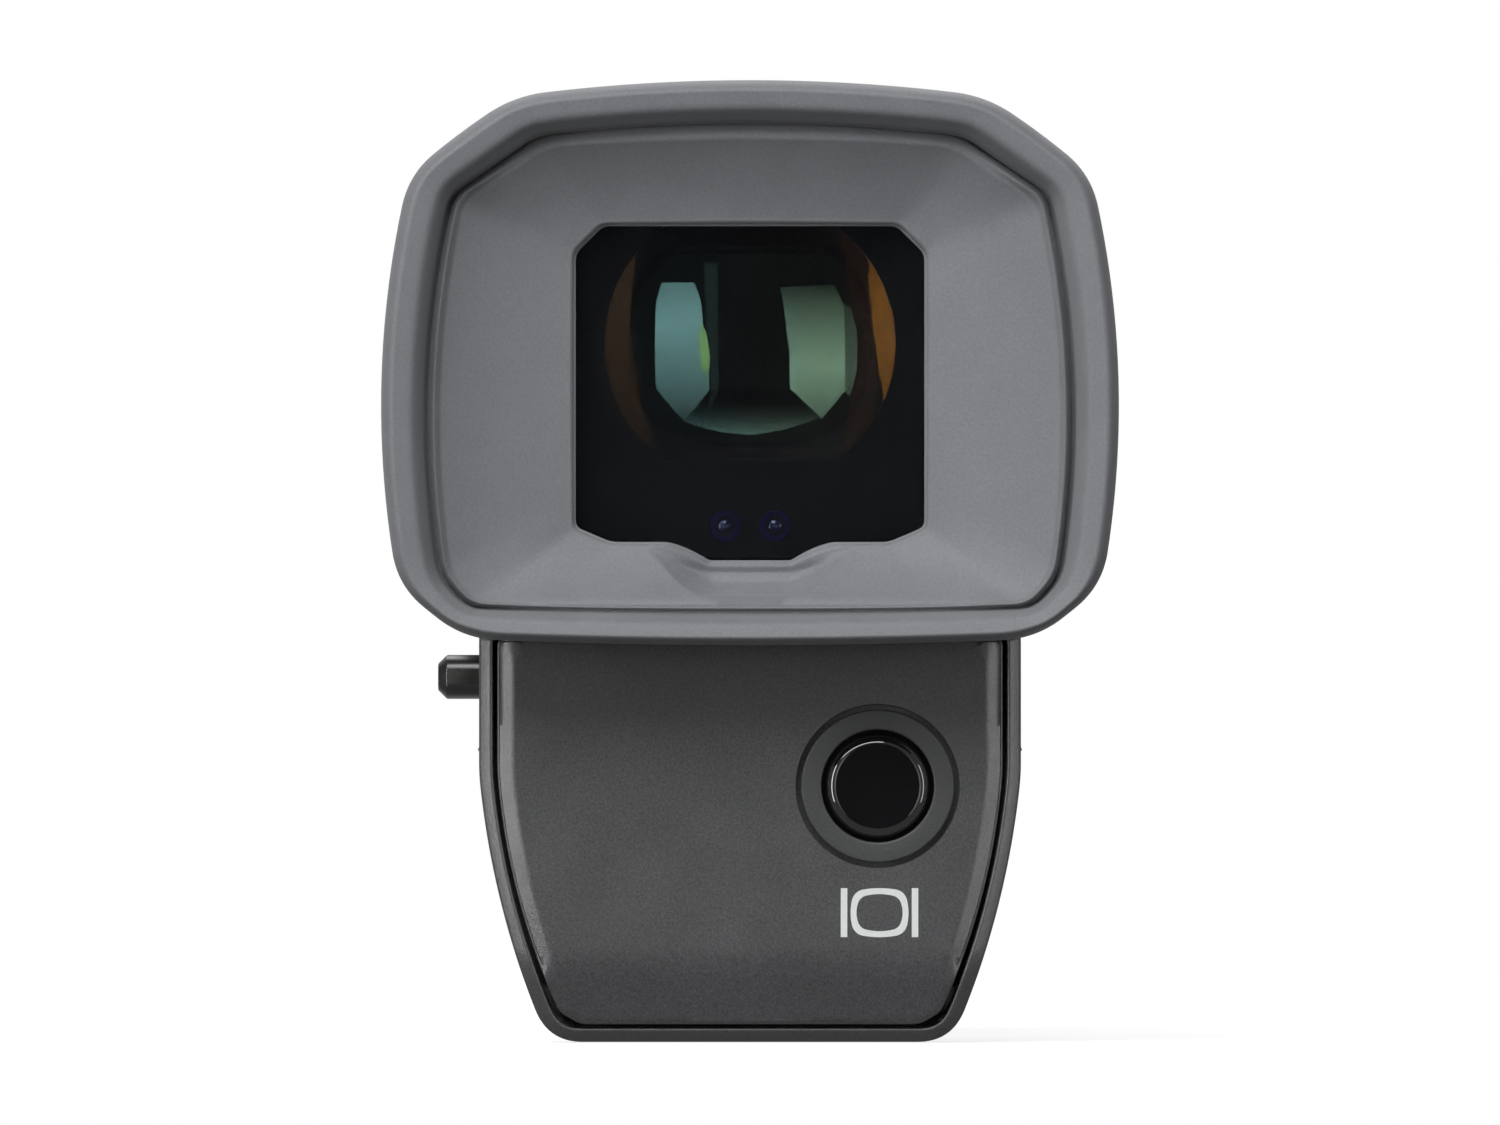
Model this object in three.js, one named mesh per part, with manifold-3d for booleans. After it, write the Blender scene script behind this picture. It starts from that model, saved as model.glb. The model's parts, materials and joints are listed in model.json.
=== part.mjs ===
// Clip-on electronic viewfinder: a lens head with a rubber eyecup tilts up on a shoe-mounted base.
// Millimetres, +Z up, +Y away from the eye, +X to the right as the eye sees it.
// The origin is the middle of the underside of the shoe foot.
import * as THREE from 'three';
import { mergeVertices } from 'three/addons/utils/BufferGeometryUtils.js';
import Module from 'manifold-3d';

const wasm = await Module();
wasm.setup();

// Fits
const fit = 0.25;              // gap between a moving or seated piece and its neighbour
const seam = 0.2;              // gap that shows between two covers
const overrun = 1.0;           // how far a cutter passes the face that it cuts

// Facets round a full turn, and steps along a curve
const smooth = 32;
const plain = 24;
const medium = 16;
const small = 10;
const fineSteps = 6;
const curveSteps = 4;
const cornerPieces = 2;

// Shoe foot
const footWidth = 18.6;
const footLength = 18.0;
const footThickness = 2.0;
const footCorner = 1.4;
const neckWidth = 12.4;
const neckHeight = 2.1;
const neckFillet = 0.3;

// Base: a block above the foot and a curtain that hangs down behind the camera
const baseHalfWidth = 13.65;
const baseHeight = 5.4;
const baseWall = 1.2;
const baseFloor = 1.0;
const baseFrontRound = 2.6;
const baseFrontTaper = 0.9;
const baseBossWall = 0.65;
const baseBossHeight = 2.6;
const curtainDrop = 11.0;      // below the foot's underside
const curtainGap = 2.05;       // between the foot's rear edge and the curtain
const curtainDepth = 6.25;
const curtainFillet = 0.5;     // where the curtain meets the block's underside
const curtainFootInset = 3.5;  // how far each side has leaned in at the bottom
const curtainStraightZ = 2.5;  // the sides start to lean in below this height
const curtainBulge = 0.56;
const curtainRound = 1.7;
const rimWidth = 0.7;          // shell edge that shows round the rear plate
const deckThickness = 0.8;
const deckLedge = 0.7;

// Rear plate and its button
const plateThickness = 1.3;
const plateProud = 0.2;
const plateChamferWidth = 1.0;
const plateChamferDepth = 0.35;
const plateBendZ = -6.6;
const plateBendDrop = 0.95;    // how far the lower edge falls back
const plateBendShare = 0.2;    // part of the lower edge that the bend takes up
const plateRound = 1.4;
const buttonInset = 7.22;      // from the base's right side
const buttonZ = 1.91;
const buttonRadius = 2.68;
const buttonFlatRadius = 2.13;
const buttonProud = 0.35;
const buttonShoulder = 0.65;
const buttonFlange = 0.6;
const buttonFlangeThickness = 0.4;
const buttonTravel = 0.5;
const ringRadius = 3.85;
const ringMouth = 0.15;        // gap between the ring and the button

// Electronics in the base
const boardThickness = 0.8;
const baseBoardInset = 5.55;   // from the base's sides
const baseBoardTop = 4.4;
const switchSize = 4.6;
const switchHeight = 1.0;
const plungerRadius = 1.1;
const curtainScrewInset = 3.95;
const curtainScrewZ = -2.8;

// Plug that enters the camera below its shoe
const plugWidth = 10.0;
const plugHeight = 3.4;
const plugLength = 4.0;
const plugSkin = 0.3;
const plugZ = -6.4;
const plugFlange = 0.4;
const tongueThickness = 1.2;
const contactThickness = 0.2;
const contactCount = 9;
const contactWidthShare = 0.5;

// Lock: a lever slides forward and its ramps lift a pin out of the camera's shoe
const lockGap = 0.35;          // between the released lever and the hinge bracket
const lockPinRadius = 1.0;
const lockPinReach = 0.9;      // below the foot
const lockCollarRadius = 1.9;
const lockCollarThickness = 0.5;
const leverTravel = 2.0;
const leverLift = 1.0;
const leverLength = 5.0;
const leverReach = 2.15;       // outside the base's side
const leverTabHeight = 2.23;
const leverTabZ = 7.37;
const leverTabChamfer = 0.45;
const leverClear = 0.3;        // in front of the rear shoe screws' bosses
const leverPlate = 1.0;
const leverProngWidth = 1.0;
const springWire = 0.22;
const springTurns = 2.5;
const springSides = 5;
const springPocket = 0.45;

// Hinge
const hingeBehindFront = 5.8;  // hinge axis to the head's front face, and the ear's radius
const hingeAboveHead = 1.0;    // hinge axis above the head's underside
const knuckleRadius = 4.2;
const knuckleBore = 2.9;
const knuckleWall = 3.2;
const washerThickness = 0.4;
const washerRadius = 3.4;
const earThickness = 3.0;
const earInset = 1.8;          // ear's outer face inside the head's side
const pinRadius = 1.5;
const pinHeadRadius = 2.7;
const pinHeadThickness = 0.6;
const capThickness = 0.7;
const bracketHalfWidth = 8.6;
const bracketHeight = 2.8;
const bracketEdge = 0.3;       // behind the screws that it is held by
const flexWidth = 6.0;
const flexThickness = 0.2;

// Head
const hingeBeyondFoot = 8.0;   // hinge axis in front of the foot's front edge
const headHalfWidth = 15.2;
const headGap = 0.5;
const axisHeight = 14.2;       // optical axis above the head's underside
const headAboveAxis = 12.0;
const headTopChamferWidth = 5.6;
const headTopChamferHeight = 6.4;
const headBottomChamfer = 1.3;
const headRound = 1.2;
const headTopBulge = 0.35;
const headWall = 1.2;
const headBehindBase = 0.9;    // head's rear face behind the base's
const headRearChamfer = 0.8;
const headNoseLength = 2.8;
const headNoseInset = 2.2;
const splitAboveUnderside = 7.5;
const coverHalfWidth = 11.4;
const coverTopBelow = 3.0;
const coverThickness = 1.1;
const bossRadius = 1.5;
const bossReach = 3.0;

// Window and eyepiece frame, heights from the optical axis
const windowHalfWidth = 8.77;
const windowTop = 5.89;
const windowBottom = -10.0;
const windowTopCut = 1.39;
const windowBottomCut = 1.8;
const windowBottomCutHeight = 0.76;
const frameMargin = 0.25;      // frame's inside edge behind the rubber lip
const frameScoop = 1.0;        // extra room below the window for the scoop
const frameWall = 0.95;
const frameCollar = 1.6;
const framePlate = 1.4;
const panelThickness = 1.0;
const panelRecess = 0.3;
const maskThickness = 0.3;
const apertureRadius = 7.33;
const apertureFlat = 5.87;
const sensorX = 1.26;
const sensorZ = -9.2;
const sensorRadius = 0.79;
const sensorBodyLength = 1.5;
const sensorBoardHalfWidth = 5.0;

// Eyecup, heights from the optical axis
const cupReach = 6.8;          // from the head's rear face to the rim's crest
const crestDepth = 1.4;        // rim bead's crest behind its widest line
const creaseDepth = 2.0;       // crease below the crest
const ridgeRise = 0.4;
const ridgeInset = 0.4;
const funnelDrop = 2.75;       // ridge to window edge
const lipThickness = 0.65;
const lipRound = 0.25;
const flangeThickness = 1.7;
const collarWall = 1.5;
const scoopFloorHalfWidth = 2.06;
const scoopCrestHalfWidth = 4.05;
const scoopDepth = 0.9;
const scoopRiseShare = 1.6;
const scoopEndZ = -12.6;
const cupHalfWidth = 18.5;
const cupAboveAxis = 13.2;
const cupBelowAxis = 15.17;
const cupCentreBelow = 1.5;    // the point that its rings are drawn round, below the axis
const cupFacets = 56;
const rimRound = 1.3;
const creaseRound = 0.6;
const rimWidthShares = [0.77, 0.957, 0.926, 0.638];
const rimHeightShares = [-0.98, -0.798, 0.639, 0.939];
const rimBulgeShares = [0.0054, 0.0595, 0.0081, 0.0432, 0.0081, 0.0595, 0.0054, 0.0173];
const creaseWidthShares = [0.762, 0.835, 0.811, 0.573];
const creaseHeightShares = [-0.854, -0.775, 0.568, 0.78];
const creaseBulgeShares = [0.0027, 0.0541, 0.0054, 0.0389, 0.0054, 0.0541, 0.0027, 0.0195];
const beadShares = [0.05, 0.27, 0.5, 0.73, 0.95];
const funnelHollowShare = 0.46;

// Optics
const barrelRadius = 8.8;
const barrelFlat = 7.2;
const barrelWall = 0.7;
const barrelLength = 11.4;
const lensFlat = 6.35;
const lensEdgeGap = 0.15;
const eyeLensCentre = 3.4;
const eyeLensEdge = 1.2;
const middleLensCentre = 2.6;
const middleLensEdge = 1.0;
const innerLensCentre = 1.2;
const innerLensEdge = 2.2;
const spacerOpeningHalfWidth = 5.4;
const spacerOpeningHalfHeight = 4.6;
const spacerOpeningBulge = 0.22;
const spacerOpeningRound = 0.8;
const spacerLength = 1.4;
const retainerLength = 1.0;
const retainerWall = 1.2;
const chassisHalfWidth = 10.6;
const chassisTop = 10.2;
const chassisBottom = 8.6;
const tunnelHalfWidth = 7.2;
const tunnelHalfHeight = 5.8;

// Dioptre drive
const toothModule = 0.4;
const toothCount = 8;
const toothBacklash = 0.12;
const toothAngle = 20;         // degrees
const addendumShare = 0.85;
const dedendumShare = 1.1;
const toothRootShare = 1.35;
const toothTipShare = 0.4;
const gearWidth = 1.8;
const rackHalfTeeth = 3;
const rackDepth = 1.5;
const dialInset = 9.2;         // dial's axis in front of the head's rear face
const dialRadius = 4.2;
const dialThickness = 1.5;
const dialSunk = 0.5;
const dialRibs = 24;
const dialRibDepth = 0.18;
const dialShaftRadius = 0.9;
const dialWasherThickness = 0.25;
const lensTowardsEye = 0.73;
const lensAwayFromEye = 1.46;

// Display
const displayHalfWidth = 7.2;
const displayHalfHeight = 5.6;
const displayActiveShare = 0.78;
const panelGlass = 1.3;
const displayFrameThickness = 2.4;
const displayFrameWall = 1.4;
const displayBehindHinge = 10.95;
const backlightThickness = 2.6;
const displayBoardHalfWidth = 10.8;
const displayBoardHeight = 15.4;

// Fasteners
const screwRadius = 0.7;
const screwHeadRadius = 1.3;
const screwHeadHeight = 0.7;
const shoeScrewX = 4.2;
const shoeScrewInset = 1.8;    // from the foot's front and rear edges
const shoeScrewLength = 6.8;
const headScrewInset = 7.2;    // rear pair in front of the head's rear face
const headScrewBehindHinge = 9.0;
const curtainScrewLength = 4.4;

// Places that follow from the sizes above
const baseUndersideZ = footThickness + neckHeight;
const deckZ = baseUndersideZ + baseHeight;
const curtainFootHalfWidth = baseHalfWidth - curtainFootInset;
const curtainFrontY = -footLength / 2 - curtainGap;
const rimY = curtainFrontY - curtainDepth;
const plateY = rimY - plateProud;
const plateBackY = plateY + plateThickness;
const headUndersideZ = deckZ + headGap;
const axisZ = headUndersideZ + axisHeight;
const hingeY = footLength / 2 + hingeBeyondFoot;
const headFrontY = hingeY + hingeBehindFront;
const headRearY = rimY - headBehindBase;
const crestY = headRearY - cupReach;
const hingeZ = headUndersideZ + hingeAboveHead;
const baseFrontY = hingeY - hingeBehindFront - fit - seam;
const shoeScrewY = footLength / 2 - shoeScrewInset;
const bracketBackY = shoeScrewY - screwRadius - fit - bracketEdge;
const lockPinY = bracketBackY - lockGap - leverTravel - lockPinRadius;
const shoeBossRadius = screwRadius + fit + baseBossWall;
const leverRearY = -shoeScrewY + shoeBossRadius + leverClear;
const buttonX = baseHalfWidth - buttonInset;
const curtainScrewX = baseHalfWidth - curtainScrewInset;
const baseBoardHalfWidth = baseHalfWidth - baseBoardInset;
const earOuterX = headHalfWidth - earInset;
const earInnerX = earOuterX - earThickness;
const knuckleHalfWidth = earInnerX - washerThickness - 2 * seam;
const framePlateY = headRearY + framePlate;
const collarEndY = headRearY - frameCollar;
const lipBackY = collarEndY - seam;
const windowEdgeY = lipBackY - lipThickness;
const ridgeY = windowEdgeY - funnelDrop;
const creaseY = crestY + creaseDepth;
const panelFaceY = collarEndY + panelRecess;
const maskFaceY = panelFaceY + panelThickness + seam;
const chassisRearY = framePlateY + fit;
const chassisFrontY = hingeY - displayBehindHinge;
const barrelRearY = maskFaceY + maskThickness + lensTowardsEye + fit;
const pitchRadius = toothModule * toothCount / 2;
const dialY = headRearY + dialInset;
const headScrewY = [headRearY + headScrewInset, hingeY - headScrewBehindHinge];
const rackHalfLength = Math.PI * toothModule * (rackHalfTeeth + 0.5);
const sensorBoardHalfHeight = sensorRadius + fit;
const sensorBoardY = maskFaceY + 2 * seam + sensorBodyLength;
const splitZ = headUndersideZ + splitAboveUnderside - axisZ;
const headScrewLength = splitAboveUnderside + bossReach - headWall - 2 * fit;

// Shapes and solids

const cornerTrimShare = 0.45;  // most of a side that one rounded corner may take

// A closed outline through corners, anticlockwise, whose sides bulge and whose corners are rounded.
function softOutline(corners, options = {}) {
  const { bulges = [], round = 0, sideSteps = fineSteps, cornerSteps = cornerPieces } = options;
  const points = [];
  const count = corners.length;
  const side = (i) => {
    const from = new THREE.Vector2(...corners[i % count]);
    const to = new THREE.Vector2(...corners[(i + 1) % count]);
    const along = to.clone().sub(from);
    const outward = new THREE.Vector2(along.y, -along.x).normalize();
    const bulge = bulges[i % count] ?? 0;
    const proud = (t) => 4 * bulge * t * (1 - t);
    const at = (t) => from.clone().addScaledVector(along, t).addScaledVector(outward, proud(t));
    return { at, trim: Math.min(round / along.length(), cornerTrimShare), bulge };
  };
  for (let i = 0; i < count; i += 1) {
    const { at, trim, bulge } = side(i);
    const next = side(i + 1);
    const steps = bulge === 0 ? 1 : sideSteps;
    for (let k = 0; k <= steps; k += 1) {
      points.push(at(trim + (1 - 2 * trim) * k / steps));
    }
    if (round > 0) {
      const corner = new THREE.QuadraticBezierCurve(at(1 - trim), at(1), next.at(next.trim));
      points.push(...corner.getPoints(cornerSteps).slice(1, -1));
    } else {
      points.pop();
    }
  }
  return points;
}

// Moves each side of an anticlockwise outline inwards by a distance.
function insetCorners(corners, distance) {
  const points = corners.map((corner) => new THREE.Vector2(...corner));
  return points.map((point, i) => {
    const before = points[(i + points.length - 1) % points.length];
    const after = points[(i + 1) % points.length];
    const one = point.clone().sub(before).normalize();
    const two = after.clone().sub(point).normalize();
    const inward = new THREE.Vector2(-one.y - two.y, one.x + two.x);
    inward.multiplyScalar(distance / (1 + one.dot(two)));
    return point.clone().add(inward).toArray();
  });
}

const mirrored = (rightSide) => [
  ...rightSide,
  ...rightSide.slice().reverse().map(([x, z]) => [-x, z]),
];

const rectangle = (x0, z0, x1, z1) => [[x0, z0], [x1, z0], [x1, z1], [x0, z1]];

function chamferedRectangle(x0, z0, x1, z1, cut) {
  return [
    [x0 + cut, z0], [x1 - cut, z0], [x1, z0 + cut], [x1, z1 - cut],
    [x1 - cut, z1], [x0 + cut, z1], [x0, z1 - cut], [x0, z0 + cut],
  ];
}

const toShape = (points) => new THREE.Shape(points.map((p) => (p.isVector2 ? p : new THREE.Vector2(...p))));

function prism(points, length) {
  return new THREE.ExtrudeGeometry(toShape(points), { depth: length, bevelEnabled: false, curveSegments: 1 });
}

const alongZ = (points, from, to) => prism(points, to - from).translate(0, 0, from);

// The outline's points are (x, z).
const alongY = (points, from, to) => prism(points, to - from).rotateX(Math.PI / 2).translate(0, to, 0);

// The outline's points are (y, z).
function alongX(points, from, to) {
  const axes = new THREE.Matrix4().makeBasis(
    new THREE.Vector3(0, 1, 0), new THREE.Vector3(0, 0, 1), new THREE.Vector3(1, 0, 0),
  );
  return prism(points, to - from).applyMatrix4(axes).translate(from, 0, 0);
}

function block(x0, y0, z0, x1, y1, z1) {
  const box = new THREE.BoxGeometry(x1 - x0, y1 - y0, z1 - z0);
  return box.translate((x0 + x1) / 2, (y0 + y1) / 2, (z0 + z1) / 2);
}

const turnY = new THREE.Matrix4();
const turnX = new THREE.Matrix4().makeRotationZ(-Math.PI / 2);
const turnZ = new THREE.Matrix4().makeRotationX(Math.PI / 2);
const turns = { x: turnX, y: turnY, z: turnZ };

// A solid of revolution about the named axis, from a profile of [radius, place along the axis].
function revolve(axis, profile, segments = plain) {
  const points = profile.map(([r, along]) => new THREE.Vector2(r, along));
  return new THREE.LatheGeometry(points, segments).applyMatrix4(turns[axis]);
}

function rod(axis, radius, from, to, segments = plain) {
  return revolve(axis, [[0, from], [radius, from], [radius, to], [0, to]], segments);
}

function tube(axis, outer, inner, from, to, segments = plain) {
  return revolve(axis, [[inner, from], [outer, from], [outer, to], [inner, to], [inner, from]], segments);
}

function solidOf(geometry) {
  const bare = geometry.clone();
  for (const name of ['normal', 'uv']) {
    bare.deleteAttribute(name);
  }
  const merged = mergeVertices(bare);
  const vertProperties = Float32Array.from(merged.attributes.position.array);
  const triVerts = Uint32Array.from(merged.index.array);
  return new wasm.Manifold(new wasm.Mesh({ numProp: 3, vertProperties, triVerts }));
}

function geometryOf(solid) {
  const mesh = solid.getMesh();
  const geometry = new THREE.BufferGeometry();
  geometry.setAttribute('position', new THREE.BufferAttribute(Float32Array.from(mesh.vertProperties), 3));
  geometry.setIndex(new THREE.BufferAttribute(Uint32Array.from(mesh.triVerts), 1));
  geometry.computeVertexNormals();
  return geometry;
}

const combine = (how) => (first, ...rest) => geometryOf(
  rest.reduce((solid, geometry) => solid[how](solidOf(geometry)), solidOf(first)),
);
const join = combine('add');
const cut = combine('subtract');
const common = combine('intersect');

// A skin over rings with the same number of points. A closed stack joins its last ring to its first;
// an open stack gets a flat cap at each end.
function skin(rings, closed) {
  const count = rings[0].length;
  const points = rings.flat();
  const triangles = [];
  const last = closed ? rings.length : rings.length - 1;
  for (let k = 0; k < last; k += 1) {
    const a = k * count;
    const b = ((k + 1) % rings.length) * count;
    for (let i = 0; i < count; i += 1) {
      const j = (i + 1) % count;
      triangles.push(a + i, a + j, b + j, a + i, b + j, b + i);
    }
  }
  if (!closed) {
    [0, rings.length - 1].forEach((k, end) => {
      const middle = rings[k].reduce((sum, p) => sum.add(p), new THREE.Vector3()).divideScalar(count);
      points.push(middle);
      for (let i = 0; i < count; i += 1) {
        const pair = [k * count + i, k * count + (i + 1) % count];
        triangles.push(points.length - 1, pair[1 - end], pair[end]);
      }
    });
  }
  const geometry = new THREE.BufferGeometry().setFromPoints(points);
  geometry.setIndex(signedVolume(points, triangles) < 0 ? triangles.reverse() : triangles);
  geometry.computeVertexNormals();
  return geometry;
}

function signedVolume(points, triangles) {
  let volume = 0;
  for (let i = 0; i < triangles.length; i += 3) {
    const [a, b, c] = triangles.slice(i, i + 3).map((index) => points[index]);
    volume += a.dot(new THREE.Vector3().crossVectors(b, c)) / 6;
  }
  return volume;
}

// Where a ray from a centre at each angle meets a closed outline.
function radiiAt(angles, outline, centre) {
  return angles.map((angle) => {
    const ray = new THREE.Vector2(Math.cos(angle), Math.sin(angle));
    let reach = 0;
    outline.forEach((point, i) => {
      const a = point.clone().sub(centre);
      const edge = outline[(i + 1) % outline.length].clone().sub(point);
      const across = ray.cross(edge);
      const t = a.cross(edge) / across;
      const u = a.cross(ray) / across;
      if (across !== 0 && t > 0 && u >= 0 && u <= 1) {
        reach = Math.max(reach, t);
      }
    });
    return reach;
  });
}

// Materials
const paint = (color, roughness, metalness = 0) => (
  new THREE.MeshStandardMaterial({ color, roughness, metalness })
);
const finishes = {
  rubber: () => paint(0x74777b, 0.75),
  body: () => paint(0x4b4c4d, 0.6),
  inner: () => paint(0x1b1b1c, 0.7),
  gloss: () => paint(0x101012, 0.15),
  glass: () => paint(0x9fb8b0, 0.05),
  window: () => paint(0x15161a, 0.05),
  metal: () => paint(0x9a9a98, 0.35, 0.9),
  darkMetal: () => paint(0x55565a, 0.4, 0.8),
  brass: () => paint(0xb08d4a, 0.35, 0.9),
  board: () => paint(0x1f4a32, 0.6),
  light: () => paint(0xe8e8e2, 0.5),
};

function addPart(group, name, finish, geometry, x = 0, y = 0, z = 0) {
  const mesh = new THREE.Mesh(geometry, finishes[finish]());
  mesh.name = name;
  mesh.position.set(x, y, z);
  group.add(mesh);
  return mesh;
}

// A countersunk screw about Z: its head's face is at zero and its shank rises from it.
function screw(length) {
  return revolve('z', [
    [0, 0], [screwHeadRadius, 0], [screwRadius, screwHeadHeight],
    [screwRadius, length], [0, length],
  ], small);
}

function screwSeat(length) {
  const depth = screwHeadHeight + fit;
  return revolve('z', [
    [0, -overrun], [screwHeadRadius + fit, -overrun], [screwHeadRadius + fit, 0],
    [screwRadius + fit, depth], [screwRadius + fit, length + fit], [0, length + fit],
  ], small);
}

// Shoe foot and its screws

function shoeFoot() {
  const halfWidth = footWidth / 2;
  const halfLength = footLength / 2;
  const plate = chamferedRectangle(-halfWidth, -halfLength, halfWidth, halfLength, footCorner);
  const neckFront = halfLength - footCorner / 2;
  const neck = rectangle(-neckWidth / 2, -halfLength + neckFillet, neckWidth / 2, neckFront);
  const neckRings = [
    [neckFillet, footThickness / 2], [neckFillet, footThickness],
    [0, footThickness + neckFillet], [0, baseUndersideZ - seam / 2],
  ].map(([grow, z]) => insetCorners(neck, -grow).map(([x, y]) => new THREE.Vector3(x, y, z)));
  const foot = join(alongZ(plate, 0, footThickness), skin(neckRings, false));
  const seats = shoeScrewPlaces().map(([x, y]) => screwSeat(shoeScrewLength).translate(x, y, 0));
  const pinHole = rod('z', lockPinRadius + fit, -overrun, deckZ).translate(0, lockPinY, 0);
  return cut(foot, pinHole, ...seats);
}

function shoeScrewPlaces() {
  return [
    [-shoeScrewX, -shoeScrewY], [shoeScrewX, -shoeScrewY],
    [-shoeScrewX, shoeScrewY], [shoeScrewX, shoeScrewY],
  ];
}

// Base housing, deck cover and rear plate

function curtainCorners(top) {
  return mirrored([
    [curtainFootHalfWidth, -curtainDrop], [baseHalfWidth, curtainStraightZ], [baseHalfWidth, top],
  ]);
}

function curtainOutline(inset, top, round) {
  const bulges = [curtainBulge, 0, 0, 0, curtainBulge, 0];
  return softOutline(insetCorners(curtainCorners(top), inset), { bulges, round, cornerSteps: curveSteps });
}

function deckOutline(inset) {
  const frontHalfWidth = baseHalfWidth - baseFrontTaper;
  const corners = [
    [-baseHalfWidth, rimY], [baseHalfWidth, rimY], [baseHalfWidth, curtainFrontY],
    [frontHalfWidth, baseFrontY], [-frontHalfWidth, baseFrontY], [-baseHalfWidth, curtainFrontY],
  ];
  return insetCorners(corners, inset);
}

function blockOutline(inset) {
  const [rearLeft, rearRight, sideRight, frontRight, frontLeft, sideLeft] = deckOutline(inset);
  const round = baseFrontRound - inset / 2;
  const corners = [frontRight, frontLeft].map(([x, y]) => {
    const side = Math.sign(x);
    return new THREE.QuadraticBezierCurve(
      new THREE.Vector2(x, y - round), new THREE.Vector2(x, y), new THREE.Vector2(x - side * round, y),
    ).getPoints(curveSteps);
  });
  const [back, side] = [[rearLeft, rearRight, sideRight], [sideLeft]].map((ends) => (
    ends.map((end) => new THREE.Vector2(...end))
  ));
  return [...back, ...corners[0], ...corners[1].reverse(), ...side];
}

// The fillet between the curtain's front face and the block's underside.
function curtainCornerFillet() {
  const wedge = alongX([
    [curtainFrontY - seam, baseUndersideZ + seam], [curtainFrontY, baseUndersideZ - curtainFillet],
    [curtainFrontY + curtainFillet, baseUndersideZ],
  ], -baseHalfWidth, baseHalfWidth);
  return common(wedge, alongZ(blockOutline(0), footThickness, deckZ));
}

function baseHousing() {
  const shell = join(
    alongY(curtainOutline(0, deckZ, curtainRound), rimY, curtainFrontY),
    alongZ(blockOutline(0), baseUndersideZ, deckZ),
    curtainCornerFillet(),
  );
  const floorZ = baseUndersideZ + baseFloor;
  const innerTop = deckZ + overrun;
  const deckSeatZ = deckZ - deckThickness - seam / 2;
  const curtainInside = curtainFrontY - baseWall;
  const boss = rod('z', shoeBossRadius, floorZ - baseFloor / 2, floorZ + baseBossHeight, small);
  const bosses = shoeScrewPlaces().slice(0, 2).map(([x, y]) => boss.clone().translate(x, y, 0));
  const hollow = cut(
    shell,
    behindBend(rimY),
    common(
      alongY(curtainOutline(rimWidth, deckZ + overrun, plateRound), rimY - overrun, curtainFrontY),
      behindBend(plateBackY + seam, plateThickness + overrun),
    ),
    alongY(curtainOutline(baseWall + fit, deckZ + overrun, plateRound), rimY - overrun, curtainInside),
    alongZ(blockOutline(baseWall), floorZ, innerTop),
    alongZ(blockOutline(deckLedge), deckSeatZ, innerTop),
  );
  const seats = shoeScrewPlaces().map(([x, y]) => screwSeat(shoeScrewLength).translate(x, y, 0));
  const curtainSeats = [-1, 1].map((side) => (
    rod('y', screwHeadRadius + fit, curtainFrontY - screwHeadHeight, curtainFrontY + overrun, small)
      .translate(side * curtainScrewX, 0, curtainScrewZ)
  ));
  const curtainHoles = [-1, 1].map((side) => (
    rod('y', screwRadius + fit, curtainInside - overrun, curtainFrontY + overrun, small)
      .translate(side * curtainScrewX, 0, curtainScrewZ)
  ));
  const plugHalf = plugWidth / 2 + plugFlange + fit;
  const plugRise = plugHeight / 2 + plugFlange + fit;
  const bracketTop = floorZ + fit + bracketHeight;
  return cut(
    join(hollow, ...bosses),
    ...seats, ...curtainSeats, ...curtainHoles,
    rod('z', lockPinRadius + fit, 0, floorZ + overrun).translate(0, lockPinY, 0),
    block(
      -plugHalf, curtainInside - overrun, plugZ - plugRise,
      plugHalf, curtainFrontY + overrun, plugZ + plugRise,
    ),
    block(-bracketHalfWidth - fit, baseFrontY - baseWall - overrun, floorZ, bracketHalfWidth + fit,
      baseFrontY + overrun, bracketTop + fit),
    leverSlot(),
  );
}

function leverSlot() {
  const rise = leverTabHeight / 2 + fit;
  return block(
    -baseHalfWidth - overrun, leverRearY - fit, leverTabZ - rise,
    -baseHalfWidth + baseWall + baseFrontTaper + fit,
    leverRearY + leverLength + leverTravel + fit,
    leverTabZ + rise,
  );
}

function deckCover() {
  const cover = alongZ(blockOutline(deckLedge + seam), deckZ - deckThickness, deckZ);
  const springSeat = rod('z', lockCollarRadius, 0, deckZ - deckThickness + springPocket)
    .translate(0, lockPinY, 0);
  const curtainTop = block(
    -baseHalfWidth, rimY - overrun, 0,
    baseHalfWidth, plateBackY + fit, deckZ + overrun,
  );
  return cut(cover, springSeat, curtainTop);
}

// The rear face is flat, then bends away from the eye below the bend line.
function bendLine(y) {
  const foot = -curtainDrop - overrun;
  const bendRun = (plateBendZ + curtainDrop) * plateBendShare;
  const drop = plateBendDrop * (plateBendZ - foot) / (plateBendZ + curtainDrop - rimWidth);
  return new THREE.QuadraticBezierCurve(
    new THREE.Vector2(y, plateBendZ + bendRun),
    new THREE.Vector2(y, plateBendZ - bendRun),
    new THREE.Vector2(y + drop, foot),
  ).getPoints(curveSteps);
}

function behindBend(y, depth = overrun) {
  const foot = -curtainDrop - overrun;
  return alongX([
    ...bendLine(y), new THREE.Vector2(y - depth, foot),
    new THREE.Vector2(y - depth, deckZ + overrun), new THREE.Vector2(y, deckZ + overrun),
  ], -baseHalfWidth - overrun, baseHalfWidth + overrun);
}

function plateProfile() {
  const top = deckZ - seam;
  return [
    ...bendLine(plateY), ...bendLine(plateBackY).reverse(),
    new THREE.Vector2(plateBackY, top), new THREE.Vector2(plateY, top),
  ];
}

function ringOf(points, y) {
  return points.map((p) => new THREE.Vector3(p.x, y, p.y));
}

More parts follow.
